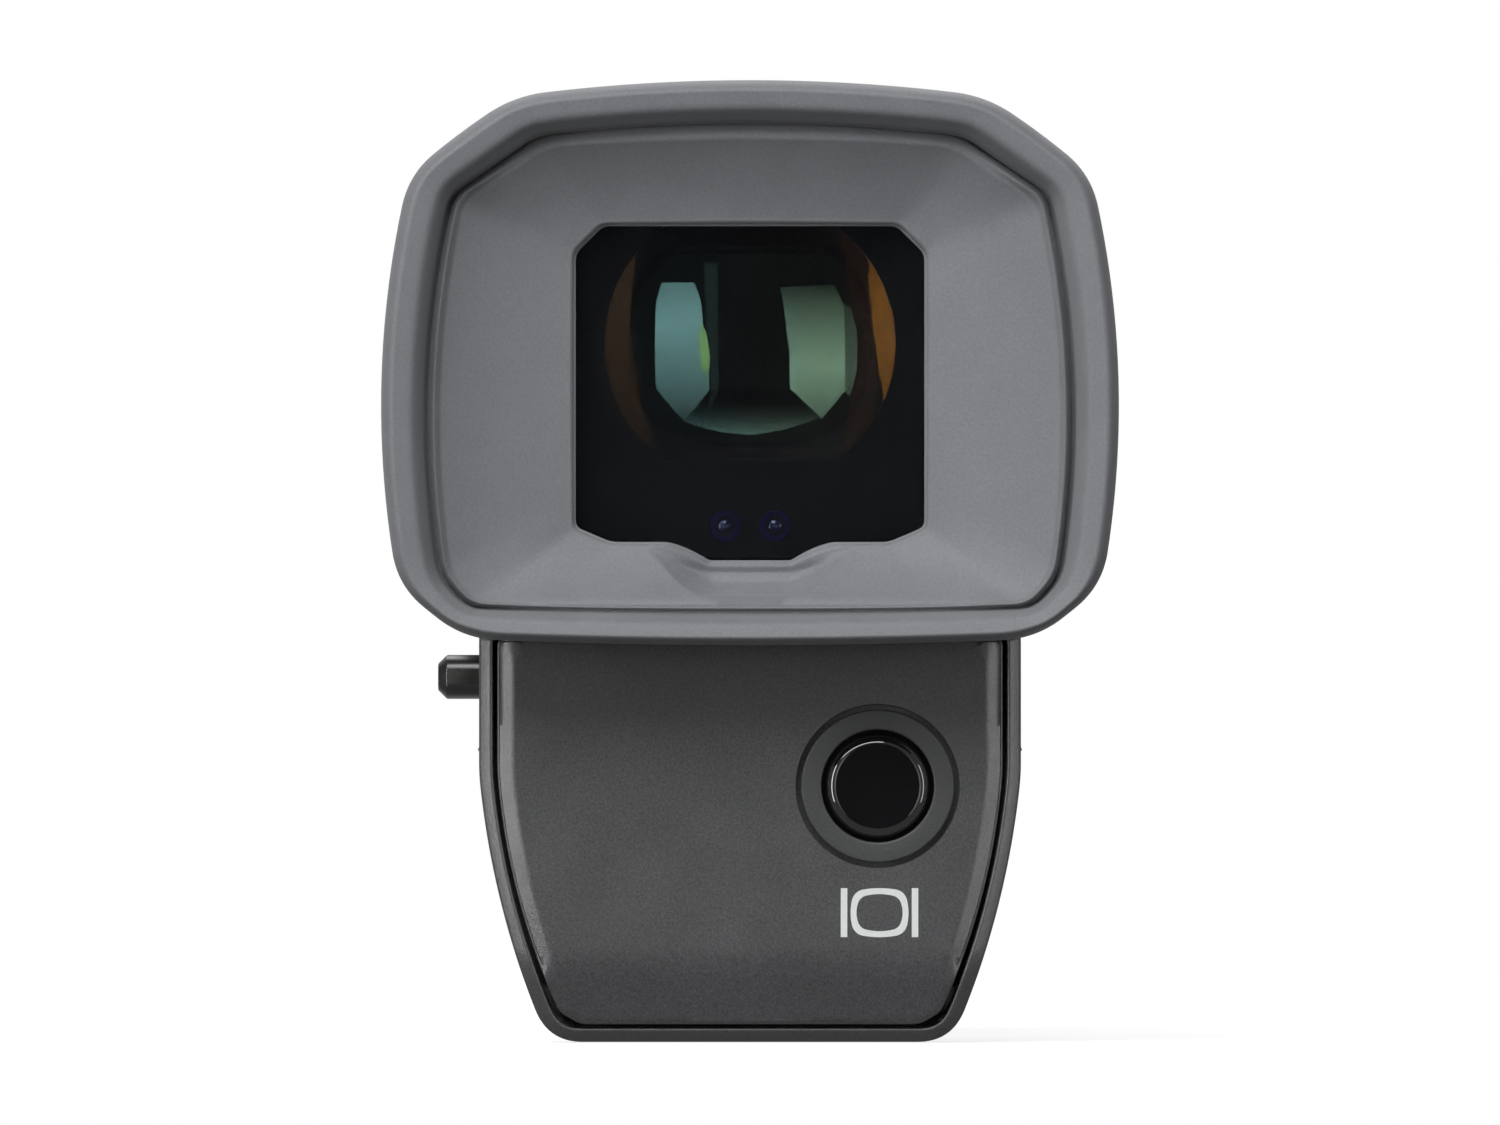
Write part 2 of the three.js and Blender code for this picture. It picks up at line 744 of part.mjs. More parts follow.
function rearPlate() {
  const inset = rimWidth + seam;
  const top = deckZ + overrun;
  const wide = curtainOutline(inset, top, plateRound);
  const narrow = curtainOutline(inset + plateChamferWidth, top, plateRound);
  const beyond = plateY - plateChamferDepth;
  const twice = curtainOutline(inset + 2 * plateChamferWidth, top, plateRound);
  const chamfered = skin([
    ringOf(wide, plateBackY + plateBendDrop + overrun), ringOf(wide, plateY + plateChamferDepth),
    ringOf(narrow, plateY), ringOf(twice, beyond),
  ], false);
  const slab = alongX(plateProfile(), -baseHalfWidth, baseHalfWidth);
  const bosses = [-1, 1].map((side) => (
    rod('y', screwHeadRadius, plateBackY - plateThickness / 2, curtainFrontY - baseWall - fit, small)
      .translate(side * curtainScrewX, 0, curtainScrewZ)
  ));
  const bossHoles = [-1, 1].map((side) => (
    rod('y', screwRadius + fit, curtainFrontY - curtainScrewLength - fit, curtainFrontY, small)
      .translate(side * curtainScrewX, 0, curtainScrewZ)
  ));
  const ringHole = rod('y', ringRadius + fit, plateY - overrun, plateBackY + overrun, smooth)
    .translate(buttonX, 0, buttonZ);
  return cut(join(common(chamfered, slab), ...bosses), ringHole, ...bossHoles);
}

// Button, its ring and its switch, about the button's axis; y is zero on the plate's face

function buttonRing() {
  const mouth = buttonRadius + ringMouth;
  return tube('y', ringRadius, mouth, 0, plateThickness, smooth);
}

function displayButton() {
  const shoulder = new THREE.QuadraticBezierCurve(
    new THREE.Vector2(buttonFlatRadius, -buttonProud),
    new THREE.Vector2(buttonRadius, -buttonProud),
    new THREE.Vector2(buttonRadius, -buttonProud + buttonShoulder),
  ).getPoints(curveSteps).map((p) => p.toArray());
  const flangeY = plateThickness + fit;
  const flangeRadius = buttonRadius + buttonFlange;
  return revolve('y', [
    [0, -buttonProud], ...shoulder, [buttonRadius, flangeY], [flangeRadius, flangeY],
    [flangeRadius, flangeY + buttonFlangeThickness], [0, flangeY + buttonFlangeThickness],
  ]);
}

// Plug, about its own centre; y is zero on the curtain's front face and the plug points to +Y

function plugBody() {
  const halfWidth = plugWidth / 2 + plugFlange;
  const rise = plugHeight / 2 + plugFlange;
  const tongueHalfWidth = plugWidth / 2 - 2 * plugSkin;
  const flangeOutline = chamferedRectangle(-halfWidth, -rise, halfWidth, rise, plugFlange);
  const flange = alongY(flangeOutline, -baseWall - seam, seam);
  const tongue = block(-tongueHalfWidth, 0, -tongueThickness / 2, tongueHalfWidth,
    plugLength - plugFlange, tongueThickness / 2);
  return join(flange, tongue);
}

function plugShell() {
  const outline = (inset) => softOutline(
    insetCorners(rectangle(-plugWidth / 2, -plugHeight / 2, plugWidth / 2, plugHeight / 2), inset),
    { round: plugFlange - inset },
  );
  const from = 2 * seam;
  return cut(
    alongY(outline(0), from, plugLength),
    alongY(outline(plugSkin), from - overrun, plugLength + overrun),
  );
}

function plugContacts() {
  const halfWidth = plugWidth / 2 - 4 * plugSkin;
  const pitch = 2 * halfWidth / contactCount;
  const from = 2 * seam;
  const bar = block(-halfWidth, from, 0, halfWidth, from + plugFlange, contactThickness);
  const fingers = Array.from({ length: contactCount }, (_, i) => {
    const middle = -halfWidth + pitch * (i + 0.5);
    const half = pitch * contactWidthShare / 2;
    return block(middle - half, from, 0, middle + half, plugLength - 2 * plugFlange, contactThickness);
  });
  return join(bar, ...fingers);
}

// Lock lever, pin and spring

function lockLever() {
  const floorZ = baseUndersideZ + baseFloor + fit;
  const tabOuterX = -baseHalfWidth - leverReach;
  const tabInnerX = -baseHalfWidth + baseWall + baseFrontTaper + fit;
  const tabLow = leverTabZ - leverTabHeight / 2;
  const tabHigh = leverTabZ + leverTabHeight / 2;
  const frontY = leverRearY + leverLength;
  const tab = alongY([
    [tabOuterX + leverTabChamfer, tabLow], [tabInnerX + leverPlate, tabLow],
    [tabInnerX + leverPlate, tabHigh], [tabOuterX + leverTabChamfer, tabHigh],
    [tabOuterX, tabHigh - leverTabChamfer], [tabOuterX, tabLow + leverTabChamfer],
  ], leverRearY, frontY);
  const carrier = block(tabInnerX, leverRearY, floorZ, tabInnerX + 2 * leverPlate, frontY, tabHigh);
  const prongX = lockPinRadius + fit;
  const barFrontY = lockPinY - lockCollarRadius - 2 * fit - leverTravel;
  const bar = block(tabInnerX, leverRearY, floorZ, prongX + leverProngWidth, barFrontY, floorZ + leverPlate);
  const ramp = alongX(rampProfile(floorZ), prongX, prongX + leverProngWidth);
  const otherRamp = alongX(rampProfile(floorZ), -prongX - leverProngWidth, -prongX);
  return join(tab, carrier, bar, ramp, otherRamp);
}

// A prong's side view: low under the collar at rest, then a ramp that lifts it as the lever moves forward.
function rampProfile(floorZ) {
  const lowZ = floorZ + leverPlate;
  const rampY = lockPinY - lockCollarRadius;
  const highZ = lowZ + leverLift;
  const landing = leverTravel / 5;
  return [
    [leverRearY, floorZ], [lockPinY + lockPinRadius, floorZ], [lockPinY + lockPinRadius, lowZ], [rampY, lowZ],
    [rampY - leverTravel, highZ], [rampY - leverTravel - landing, highZ],
    [rampY - leverTravel - 2 * landing, lowZ], [leverRearY, lowZ],
  ];
}

const collarZ = baseUndersideZ + baseFloor + fit + leverPlate + fit;

function lockPin() {
  const tip = lockPinRadius / 4;
  return revolve('z', [
    [0, -lockPinReach], [lockPinRadius - tip, -lockPinReach], [lockPinRadius, -lockPinReach + tip],
    [lockPinRadius, collarZ], [lockCollarRadius, collarZ],
    [lockCollarRadius, collarZ + lockCollarThickness], [lockPinRadius, collarZ + lockCollarThickness],
    [lockPinRadius, collarZ + 2 * lockCollarThickness], [0, collarZ + 2 * lockCollarThickness],
  ], medium);
}

function lockSpring() {
  const coilRadius = lockPinRadius + fit + springWire;
  const low = collarZ + lockCollarThickness + springWire;
  const high = deckZ - deckThickness + springPocket - springWire;
  class Coil extends THREE.Curve {
    getPoint(t) {
      const angle = 2 * Math.PI * springTurns * t;
      return new THREE.Vector3(
        coilRadius * Math.cos(angle), coilRadius * Math.sin(angle), THREE.MathUtils.lerp(low, high, t),
      );
    }
  }
  const wireEdge = new THREE.EllipseCurve(0, 0, springWire / 2, springWire / 2).getPoints(springSides);
  const wire = new THREE.Shape(wireEdge.slice(0, -1));
  return new THREE.ExtrudeGeometry(wire, {
    steps: Math.round(springTurns * small), extrudePath: new Coil(), bevelEnabled: false,
  });
}

// Hinge: the bracket's place is the hinge axis

function bracketTopZ() {
  return baseUndersideZ + baseFloor + fit + bracketHeight - hingeZ;
}

function hingeBracket() {
  const topZ = bracketTopZ();
  const lowZ = topZ - bracketHeight;
  const backY = bracketBackY - hingeY;
  const arm = [
    [backY, lowZ], [-knuckleRadius, lowZ], [-knuckleRadius / 2, -knuckleRadius], [0, 0],
    [-knuckleRadius, topZ], [backY, topZ],
  ];
  const solid = join(
    alongX(arm, -bracketHalfWidth, bracketHalfWidth),
    rod('x', knuckleRadius, -knuckleHalfWidth, knuckleHalfWidth, smooth),
  );
  const flexHalf = flexWidth / 2 + fit;
  const boreHalf = knuckleHalfWidth - knuckleWall;
  const pinBore = rod('x', pinRadius + fit, -knuckleHalfWidth - overrun, knuckleHalfWidth + overrun, small);
  const flexFloor = topZ - 3 * flexThickness - fit;
  const seats = shoeScrewPlaces().slice(2).map(([x, y]) => (
    screwSeat(shoeScrewLength).translate(x, y - hingeY, -hingeZ)
  ));
  return cut(
    solid, pinBore, rod('x', knuckleBore, -boreHalf, boreHalf, medium),
    block(-flexHalf, backY - overrun, flexFloor, flexHalf, 0, topZ + overrun),
    block(-flexHalf, -knuckleBore / 2, 0, flexHalf, knuckleBore / 2, knuckleRadius + overrun),
    ...seats,
  );
}

// The flat cable lies on the bracket, turns up inside the knuckle and leaves through its top.
function hingeFlex() {
  const startY = bracketBackY - hingeY;
  const layZ = bracketTopZ() - flexThickness;
  const path = new THREE.CurvePath();
  const bendStart = new THREE.Vector2(-knuckleRadius, layZ);
  const bendEnd = new THREE.Vector2(0, knuckleRadius / 2);
  path.add(new THREE.LineCurve(new THREE.Vector2(startY, layZ), bendStart));
  path.add(new THREE.QuadraticBezierCurve(bendStart, new THREE.Vector2(0, layZ), bendEnd));
  path.add(new THREE.LineCurve(bendEnd, new THREE.Vector2(0, knuckleRadius + 2 * headWall)));
  const centre = path.getPoints(fineSteps);
  const offset = (side) => centre.map((p, i) => {
    const before = centre[Math.max(i - 1, 0)];
    const after = centre[Math.min(i + 1, centre.length - 1)];
    const along = after.clone().sub(before).normalize();
    return new THREE.Vector2(p.x - side * along.y, p.y + side * along.x);
  });
  const outline = [...offset(-flexThickness / 2), ...offset(flexThickness / 2).reverse()];
  return alongX(outline, -flexWidth / 2, flexWidth / 2);
}

function frictionWasher() {
  return tube('x', washerRadius, pinRadius + fit, -washerThickness / 2, washerThickness / 2, medium);
}

// A pin about X: the head's outer face is at zero and the shank points to -X.
function hingePin() {
  const end = -(earOuterX - capThickness - 2 * seam) + knuckleHalfWidth - knuckleWall + fit;
  return revolve('x', [
    [0, end], [pinRadius, end], [pinRadius, -pinHeadThickness],
    [pinHeadRadius, -pinHeadThickness], [pinHeadRadius, 0], [0, 0],
  ], medium);
}

function hingeCap() {
  const radius = pinHeadRadius + seam;
  const edge = capThickness / 4;
  return revolve('x', [
    [0, -capThickness], [radius, -capThickness], [radius, -edge], [radius - edge, 0], [0, 0],
  ]);
}

// Head shells; heights from the optical axis

const headBottom = -axisHeight;
const headTop = headAboveAxis;

function headOutline(inset) {
  const corners = mirrored([
    [headHalfWidth - headBottomChamfer, headBottom],
    [headHalfWidth, headBottom + headBottomChamfer],
    [headHalfWidth, headTop - headTopChamferHeight],
    [headHalfWidth - headTopChamferWidth, headTop],
  ]);
  const bulges = [0, 0, 0, headTopBulge, 0, 0, 0, 0];
  return softOutline(insetCorners(corners, inset), { bulges, round: headRound, sideSteps: cornerPieces });
}

function headForm(inset, rearY) {
  const noseY = headFrontY - headNoseLength;
  const nose = [0, 1, 2].map((k) => {
    const turn = k / 2 * Math.PI / 2;
    return {
      y: noseY + (headNoseLength - inset) * Math.sin(turn),
      inset: inset + (headNoseInset - inset / 2) * (1 - Math.cos(turn)),
    };
  });
  const stations = [
    { y: rearY, inset: inset + headRearChamfer }, { y: rearY + headRearChamfer, inset }, ...nose,
  ];
  return skin(stations.map((station) => ringOf(headOutline(station.inset), station.y)), false);
}

const hingeLocalZ = hingeZ - axisZ;

function headHollow() {
  return join(
    headForm(headWall, headRearY),
    alongY(headOutline(headWall), headRearY - overrun, headRearY + framePlate + headRearChamfer),
  );
}

function coverOutline(inset) {
  const top = headTop - coverTopBelow;
  const corners = mirrored([
    [coverHalfWidth, hingeLocalZ], [coverHalfWidth, headTop - headTopChamferHeight],
    [coverHalfWidth - (headTopChamferWidth - coverTopBelow), top],
  ]);
  return softOutline(insetCorners(corners, inset), { round: headRound / 2 });
}

function coverRecess() {
  const coverY = headFrontY - coverThickness - seam;
  return alongY(coverOutline(-seam), coverY, headFrontY + overrun);
}

function headScrewPlaces() {
  const x = headHalfWidth - headWall - bossRadius - seam;
  return headScrewY.flatMap((y) => [[-x, y], [x, y]]);
}

// A screw boss with a rib that ties it to the side wall.
function headBoss([x, y], from, to) {
  const side = Math.sign(x);
  const wallX = side * (headHalfWidth - headWall / 2);
  const rib = block(Math.min(x, wallX), y - headWall / 2, from, Math.max(x, wallX), y + headWall / 2, to);
  return join(rod('z', bossRadius, from, to, small).translate(x, y, 0), rib);
}

function headTopShell() {
  const bosses = headScrewPlaces().map((place) => headBoss(place, splitZ, splitZ + bossReach));
  const holes = headScrewPlaces().map(([x, y]) => (
    rod('z', screwRadius + fit, splitZ - overrun, splitZ + bossReach - headWall, small).translate(x, y, 0)
  ));
  const shell = join(cut(headForm(0, headRearY), headHollow()), ...bosses);
  const above = block(
    -headHalfWidth, headRearY - overrun, splitZ + seam / 2,
    headHalfWidth, headFrontY, headTop + overrun,
  );
  const recessFloorX = headHalfWidth - dialSunk - fit;
  const dialRecess = rod('x', dialRadius + fit, recessFloorX, headHalfWidth + overrun, smooth)
    .translate(0, dialY, 0);
  const shaftHoleX = headHalfWidth - headWall - overrun;
  const shaftHole = rod('x', dialShaftRadius + fit, shaftHoleX, headHalfWidth + overrun)
    .translate(0, dialY, 0);
  return cut(common(shell, above), dialRecess, shaftHole, coverRecess(), ...holes);
}

function headBottomShell() {
  const hollow = cut(headForm(0, headRearY), headHollow());
  const below = block(
    -headHalfWidth, headRearY - overrun, headBottom - overrun,
    headHalfWidth, headFrontY, splitZ - seam / 2,
  );
  const bosses = headScrewPlaces().map((place) => (
    headBoss(place, headBottom + headWall / 2, splitZ - seam / 2)
  ));
  const atHinge = (geometry) => geometry.translate(0, hingeY, hingeLocalZ);
  const ears = [-1, 1].map((side) => {
    const [from, to] = side < 0 ? [-headHalfWidth, -earInnerX] : [earInnerX, headHalfWidth];
    return atHinge(rod('x', hingeBehindFront, from, to));
  });
  const earSlab = block(-earOuterX, hingeY - headWall - hingeBehindFront, headBottom - 2 * hingeBehindFront,
    earOuterX, headFrontY, splitZ);
  const earForm = join(headForm(headWall / 2, headRearY), earSlab);
  const archRadius = knuckleRadius + 2 * fit;
  const arch = common(
    atHinge(rod('x', archRadius + headWall, -earInnerX - seam, earInnerX + seam)),
    block(-headHalfWidth, hingeY - 2 * archRadius, headBottom, headHalfWidth, headFrontY - seam, headTop),
  );
  const earReach = headHalfWidth + overrun;
  const earHoles = atHinge(rod('x', pinRadius + fit, -earReach, earReach, small));
  const sinkX = earOuterX - capThickness - pinHeadThickness - 3 * seam;
  const sinks = [-1, 1].map((side) => {
    const [from, to] = side < 0 ? [-headHalfWidth - overrun, -sinkX] : [sinkX, headHalfWidth + overrun];
    return atHinge(rod('x', pinHeadRadius + 2 * seam, from, to, medium));
  });
  const flexSlot = block(-flexWidth / 2 - fit, hingeY - knuckleBore / 2, hingeLocalZ,
    flexWidth / 2 + fit, hingeY + knuckleBore / 2, hingeLocalZ + archRadius + 2 * headWall);
  const seats = headScrewPlaces().map(([x, y]) => screwSeat(headScrewLength).translate(x, y, headBottom));
  const front = block(-earInnerX, hingeY, headBottom - overrun, earInnerX, headFrontY + overrun, hingeLocalZ);
  return cut(
    join(common(hollow, below), ...bosses, ...ears.map((ear) => common(ear, earForm)), arch),
    atHinge(rod('x', archRadius, -earInnerX, earInnerX)), front,
    earHoles, ...sinks, flexSlot, coverRecess(), ...seats,
  );
}

function frontCover() {
  const domeDepth = coverThickness / 3;
  const backY = headFrontY - coverThickness;
  return skin([
    ringOf(coverOutline(0), backY),
    ringOf(coverOutline(0), headFrontY - domeDepth),
    ringOf(coverOutline(domeDepth), headFrontY),
  ], false);
}

// Eyepiece frame, window and mask

function windowCorners() {
  return mirrored([
    [windowHalfWidth - windowBottomCut, windowBottom],
    [windowHalfWidth, windowBottom + windowBottomCutHeight],
    [windowHalfWidth, windowTop - windowTopCut],
    [windowHalfWidth - windowTopCut, windowTop],
  ]);
}

function frameOutline(outset) {
  const half = windowHalfWidth + frameMargin;
  const low = windowBottom - frameScoop;
  const outline = chamferedRectangle(-half, low, half, windowTop + frameMargin, windowTopCut);
  return insetCorners(outline, -outset);
}

function eyepieceFrame() {
  const plate = alongY(headOutline(headWall + seam), headRearY, framePlateY);
  const collar = alongY(frameOutline(frameWall), collarEndY, framePlateY);
  const barrelRoom = flatDisc(barrelRadius + fit, barrelFlat + fit, headRearY + seam, framePlateY + overrun);
  const opening = alongY(frameOutline(0), collarEndY - overrun, framePlateY + overrun);
  return cut(join(plate, collar), opening, barrelRoom);
}

function windowPanel() {
  return alongY(frameOutline(-ringMouth), panelFaceY, panelFaceY + panelThickness);
}

function flatDisc(radius, flat, from, to, segments = smooth) {
  const disc = rod('y', radius, from, to, segments);
  const reach = radius + overrun;
  return cut(disc, block(-reach, from - overrun, -reach, reach, to + overrun, -flat));
}

function windowMask() {
  const sheet = alongY(frameOutline(-ringMouth), maskFaceY, maskFaceY + maskThickness);
  const maskBackY = maskFaceY + maskThickness;
  const aperture = flatDisc(apertureRadius, apertureFlat, maskFaceY - overrun, maskBackY + overrun);
  const holes = [-1, 1].map((side) => (
    rod('y', sensorRadius, maskFaceY - overrun, maskFaceY + maskThickness + overrun, medium)
      .translate(side * sensorX, 0, sensorZ)
  ));
  return cut(sheet, aperture, ...holes);
}

// A sensor about Y: its dome looks out at -Y and its body reaches the sensor board.
function eyeSensor() {
  const domeRadius = sensorRadius - ringMouth;
  const dome = new THREE.EllipseCurve(0, 0, domeRadius, domeRadius / 2, 0, Math.PI / 2)
    .getPoints(cornerPieces)
    .reverse().map((p) => [p.x, -p.y]);
  const bodyRadius = sensorRadius + fit;
  return revolve('y', [
    ...dome, [domeRadius, maskThickness], [bodyRadius, maskThickness],
    [bodyRadius, sensorBodyLength], [0, sensorBodyLength],
  ], medium);
}

// Eyecup: rings from the lip over the funnel, round the bead and back along the rear

// Corners of an outline from shares of the eyecup's width and of its heights below and above the axis.
function cupCorners(widthShares, heightShares) {
  return mirrored(widthShares.map((share, i) => (
    [cupHalfWidth * share, heightShares[i] * (heightShares[i] < 0 ? cupBelowAxis : cupAboveAxis)]
  )));
}

function eyecupOutlines() {
  const rim = cupCorners(rimWidthShares, rimHeightShares);
  const crease = cupCorners(creaseWidthShares, creaseHeightShares);
  const swell = (shares) => shares.map((share) => share * cupHalfWidth);
  const opening = windowCorners();
  const collarInside = frameOutline(frameWall + seam);
  const collarOutside = frameOutline(frameWall + seam + collarWall);
  return {
    rim: cupRing(rim, { bulges: swell(rimBulgeShares), round: rimRound, sideSteps: small }),
    crease: cupRing(crease, { bulges: swell(creaseBulgeShares), round: creaseRound, sideSteps: small }),
    opening: cupRing(opening, { round: lipRound }),
    collarInside: cupRing(collarInside, {}),
    collarOutside: cupRing(collarOutside, { round: collarWall }),
  };
}

// Points of an outline at even angles round the eyecup's centre, some moved to meet its corners.
function cupRing(corners, shaping) {
  const centre = new THREE.Vector2(0, -cupCentreBelow);
  const step = 2 * Math.PI / cupFacets;
  const angles = Array.from({ length: cupFacets }, (_, i) => i * step);
  corners.forEach((corner) => {
    const angle = new THREE.Vector2(...corner).sub(centre).angle();
    angles[Math.round(angle / step) % cupFacets] = angle;
  });
  const radii = radiiAt(angles, softOutline(corners, shaping), centre);
  const towards = (angle) => new THREE.Vector2(Math.cos(angle), Math.sin(angle));
  return angles.map((angle, i) => towards(angle).multiplyScalar(radii[i]));
}

function eyecup() {
  const { rim, crease, opening, collarInside, collarOutside } = eyecupOutlines();
  const inwards = (points, distance) => points.map((p) => p.clone().setLength(p.length() - distance));
  const between = (a, b, share) => a.map((p, i) => p.clone().lerp(b[i], share));
  const at = (points, y) => points.map((p) => new THREE.Vector3(p.x, y, p.y - cupCentreBelow));
  const edge = inwards(opening, -lipRound);
  const ridge = inwards(crease, ridgeInset);
  const wideY = crestY + crestDepth;
  const backEdgeY = creaseY + flangeThickness;
  const rootY = headRearY - 2 * seam - frameCollar / 2;
  const bead = beadShares.map((share) => {
    const turn = share * Math.PI;
    return at(between(crease, rim, (1 - Math.cos(turn)) / 2), wideY - crestDepth * Math.sin(turn));
  });
  const body = skin([
    at(opening, lipBackY),
    at(opening, windowEdgeY + lipRound),
    at(edge, windowEdgeY),
    at(between(edge, ridge, 0.5), windowEdgeY - funnelDrop * funnelHollowShare),
    at(ridge, ridgeY),
    at(inwards(crease, ridgeInset / 2), ridgeY + ridgeRise / 4),
    at(crease, creaseY),
    ...bead,
    at(rim, wideY + crestDepth / 3),
    at(inwards(rim, crestDepth / 4), backEdgeY - crestDepth / 3),
    at(inwards(rim, crestDepth), backEdgeY),
    at(inwards(collarOutside, -ridgeInset), rootY - ridgeRise),
    at(collarOutside, rootY),
    at(collarOutside, headRearY - seam),
    at(collarInside, headRearY - seam),
    at(collarInside, lipBackY),
  ], true);
  return cut(body, scoop());
}

// A trapezoid channel whose floor runs from the window's lower edge out to the ridge.
function scoop() {
  const inner = new THREE.Vector2(windowEdgeY + lipRound, windowBottom - scoopDepth);
  const outer = new THREE.Vector2(ridgeY, scoopEndZ);
  const along = outer.clone().sub(inner);
  const length = along.length();
  along.normalize();
  const rise = scoopRiseShare * scoopDepth;
  const depth = scoopDepth * Math.abs(along.x);
  const spread = (scoopCrestHalfWidth - scoopFloorHalfWidth) / depth * rise;
  const section = [
    [-scoopFloorHalfWidth, 0], [scoopFloorHalfWidth, 0],
    [scoopFloorHalfWidth + spread, rise], [-scoopFloorHalfWidth - spread, rise],
  ];
  const channel = prism(section, length + 2 * overrun).translate(0, 0, -overrun);
  const normal = new THREE.Vector3(0, along.y, -along.x);
  const axes = new THREE.Matrix4().makeBasis(
    new THREE.Vector3(1, 0, 0), normal, new THREE.Vector3(0, along.x, along.y),
  );
  channel.applyMatrix4(axes);
  return channel.translate(0, inner.x, inner.y);
}

// Lens group, about the optical axis

const addendum = toothModule * addendumShare;
const dedendum = toothModule * dedendumShare;

function rackTeeth() {
  const pitch = Math.PI * toothModule;
  const slope = Math.tan(THREE.MathUtils.degToRad(toothAngle));
  const halfAtPitch = pitch / 4 - toothBacklash / 2;
  const points = [[-rackHalfLength, -rackDepth], [rackHalfLength, -rackDepth]];
  for (let i = rackHalfTeeth; i >= -rackHalfTeeth; i -= 1) {
    const middle = pitch * i;
    const root = halfAtPitch + dedendum * slope;
    const tip = halfAtPitch - addendum * slope;
    if (i === rackHalfTeeth) {
      points.push([rackHalfLength, -dedendum]);
    }
    points.push(
      [middle + root, -dedendum], [middle + tip, addendum],
      [middle - tip, addendum], [middle - root, -dedendum],
    );
  }
  points.push([-rackHalfLength, -dedendum]);
  return points;
}

function gearOutline() {
  const halfTooth = (Math.PI / toothCount / 2) - toothBacklash / 2 / pitchRadius;
  const points = [];
  for (let i = 0; i < toothCount; i += 1) {
    // A gap, not a tooth, faces the rack tooth straight below the pinion.
    const middle = (i + 0.5) / toothCount * 2 * Math.PI - Math.PI / 2;
    const place = (radius, angle) => {
      points.push(new THREE.Vector2(radius * Math.cos(angle), radius * Math.sin(angle)));
    };
    place(pitchRadius - dedendum, middle - halfTooth * toothRootShare);
    place(pitchRadius, middle - halfTooth);
    place(pitchRadius + addendum, middle - halfTooth * toothTipShare);
    place(pitchRadius + addendum, middle + halfTooth * toothTipShare);
    place(pitchRadius, middle + halfTooth);
    place(pitchRadius - dedendum, middle + halfTooth * toothRootShare);
  }
  return points;
}

const gearX = chassisHalfWidth + fit;

function lensBarrel() {
  const frontY = barrelRearY + barrelLength;
  const inner = barrelRadius - barrelWall;
  const sleeve = cut(
    flatDisc(barrelRadius, barrelFlat, barrelRearY, frontY),
    flatDisc(inner, barrelFlat - barrelWall, barrelRearY - overrun, frontY - retainerLength),
    flatDisc(inner - retainerWall, barrelFlat - barrelWall - retainerWall, barrelRearY, frontY + overrun),
  );
  const rack = alongX(rackTeeth(), barrelRadius - barrelWall, gearX + gearWidth)
    .translate(0, dialY, -pitchRadius);
  const bore = flatDisc(barrelRadius - barrelWall / 2, barrelFlat, barrelRearY - overrun, frontY + overrun);
  return join(sleeve, cut(rack, bore));
}

// A lens about Y: its edge runs from zero to its edge thickness; a positive bow swells that side.
function lens(radius, flat, edge, eyeBow, farBow) {
  const steps = 3;
  const face = (bow, at) => Array.from({ length: steps }, (_, i) => {
    const share = i / (steps - 1);
    return [radius * share, at + bow * (1 - share * share)];
  });
  const body = revolve('y', [...face(-eyeBow, 0), ...face(farBow, edge).reverse()]);
  const far = radius + overrun;
  const reach = edge + Math.abs(eyeBow) + Math.abs(farBow);
  return cut(body, block(-far, -reach, -far, far, reach, -flat));
}

function lensSpacer(length) {
  const radius = barrelRadius - barrelWall - lensEdgeGap;
  const opening = softOutline(
    mirrored([
      [spacerOpeningHalfWidth / 2, -spacerOpeningHalfHeight],
      [spacerOpeningHalfWidth, -spacerOpeningHalfHeight / 2],
      [spacerOpeningHalfWidth, spacerOpeningHalfHeight / 2],
      [spacerOpeningHalfWidth / 2, spacerOpeningHalfHeight],
    ]),
    { bulges: Array(8).fill(spacerOpeningBulge), round: spacerOpeningRound, sideSteps: cornerPieces },
  );
  return cut(flatDisc(radius, lensFlat, 0, length), alongY(opening, -overrun, length + overrun));
}

function lensRetainer() {
  const radius = barrelRadius - barrelWall - lensEdgeGap;
  return cut(
    flatDisc(radius, lensFlat, 0, retainerLength),
    flatDisc(radius - retainerWall / 2, lensFlat - seam, -overrun, retainerLength + overrun),
  );
}

function opticsChassis() {
  const rear = chassisRearY;
  const front = chassisFrontY;
  const outer = chamferedRectangle(-chassisHalfWidth, -chassisBottom, chassisHalfWidth, chassisTop, headWall);
  const runEnd = barrelRearY + barrelLength + lensAwayFromEye + fit;
  const rackEnd = dialY + rackHalfLength + lensAwayFromEye + fit;
  const boardPocket = block(-sensorBoardHalfWidth - fit, rear - overrun, -chassisBottom - overrun,
    sensorBoardHalfWidth + fit, sensorBoardY + boardThickness + fit, sensorZ + sensorBoardHalfHeight + seam);
  const wingY = [rear + headWall, front - 2 * headWall];
  const wingReach = headHalfWidth - headWall - seam;
  const wings = wingY.map((y) => block(
    -wingReach, y - headWall, -headWall / 2 - chassisTop / 2,
    wingReach, y + headWall, headWall / 2 - chassisTop / 2,
  ));
  const slotReach = pitchRadius + rackDepth + fit;
  const rackSlot = block(
    0, rear - overrun, -slotReach,
    chassisHalfWidth + overrun, rackEnd, -pitchRadius + 2 * toothModule,
  );
  const shaftHole = rod('x', dialShaftRadius + fit, 0, chassisHalfWidth + overrun, medium)
    .translate(0, dialY, 0);
  const tunnel = chamferedRectangle(
    -tunnelHalfWidth, -tunnelHalfHeight, tunnelHalfWidth, tunnelHalfHeight, headWall,
  );
  return cut(
    join(alongY(outer, rear, front), ...wings),
    flatDisc(barrelRadius + fit, barrelFlat + fit, rear - overrun, runEnd),
    alongY(tunnel, rear, front + overrun),
    rackSlot, shaftHole, boardPocket,
  );
}

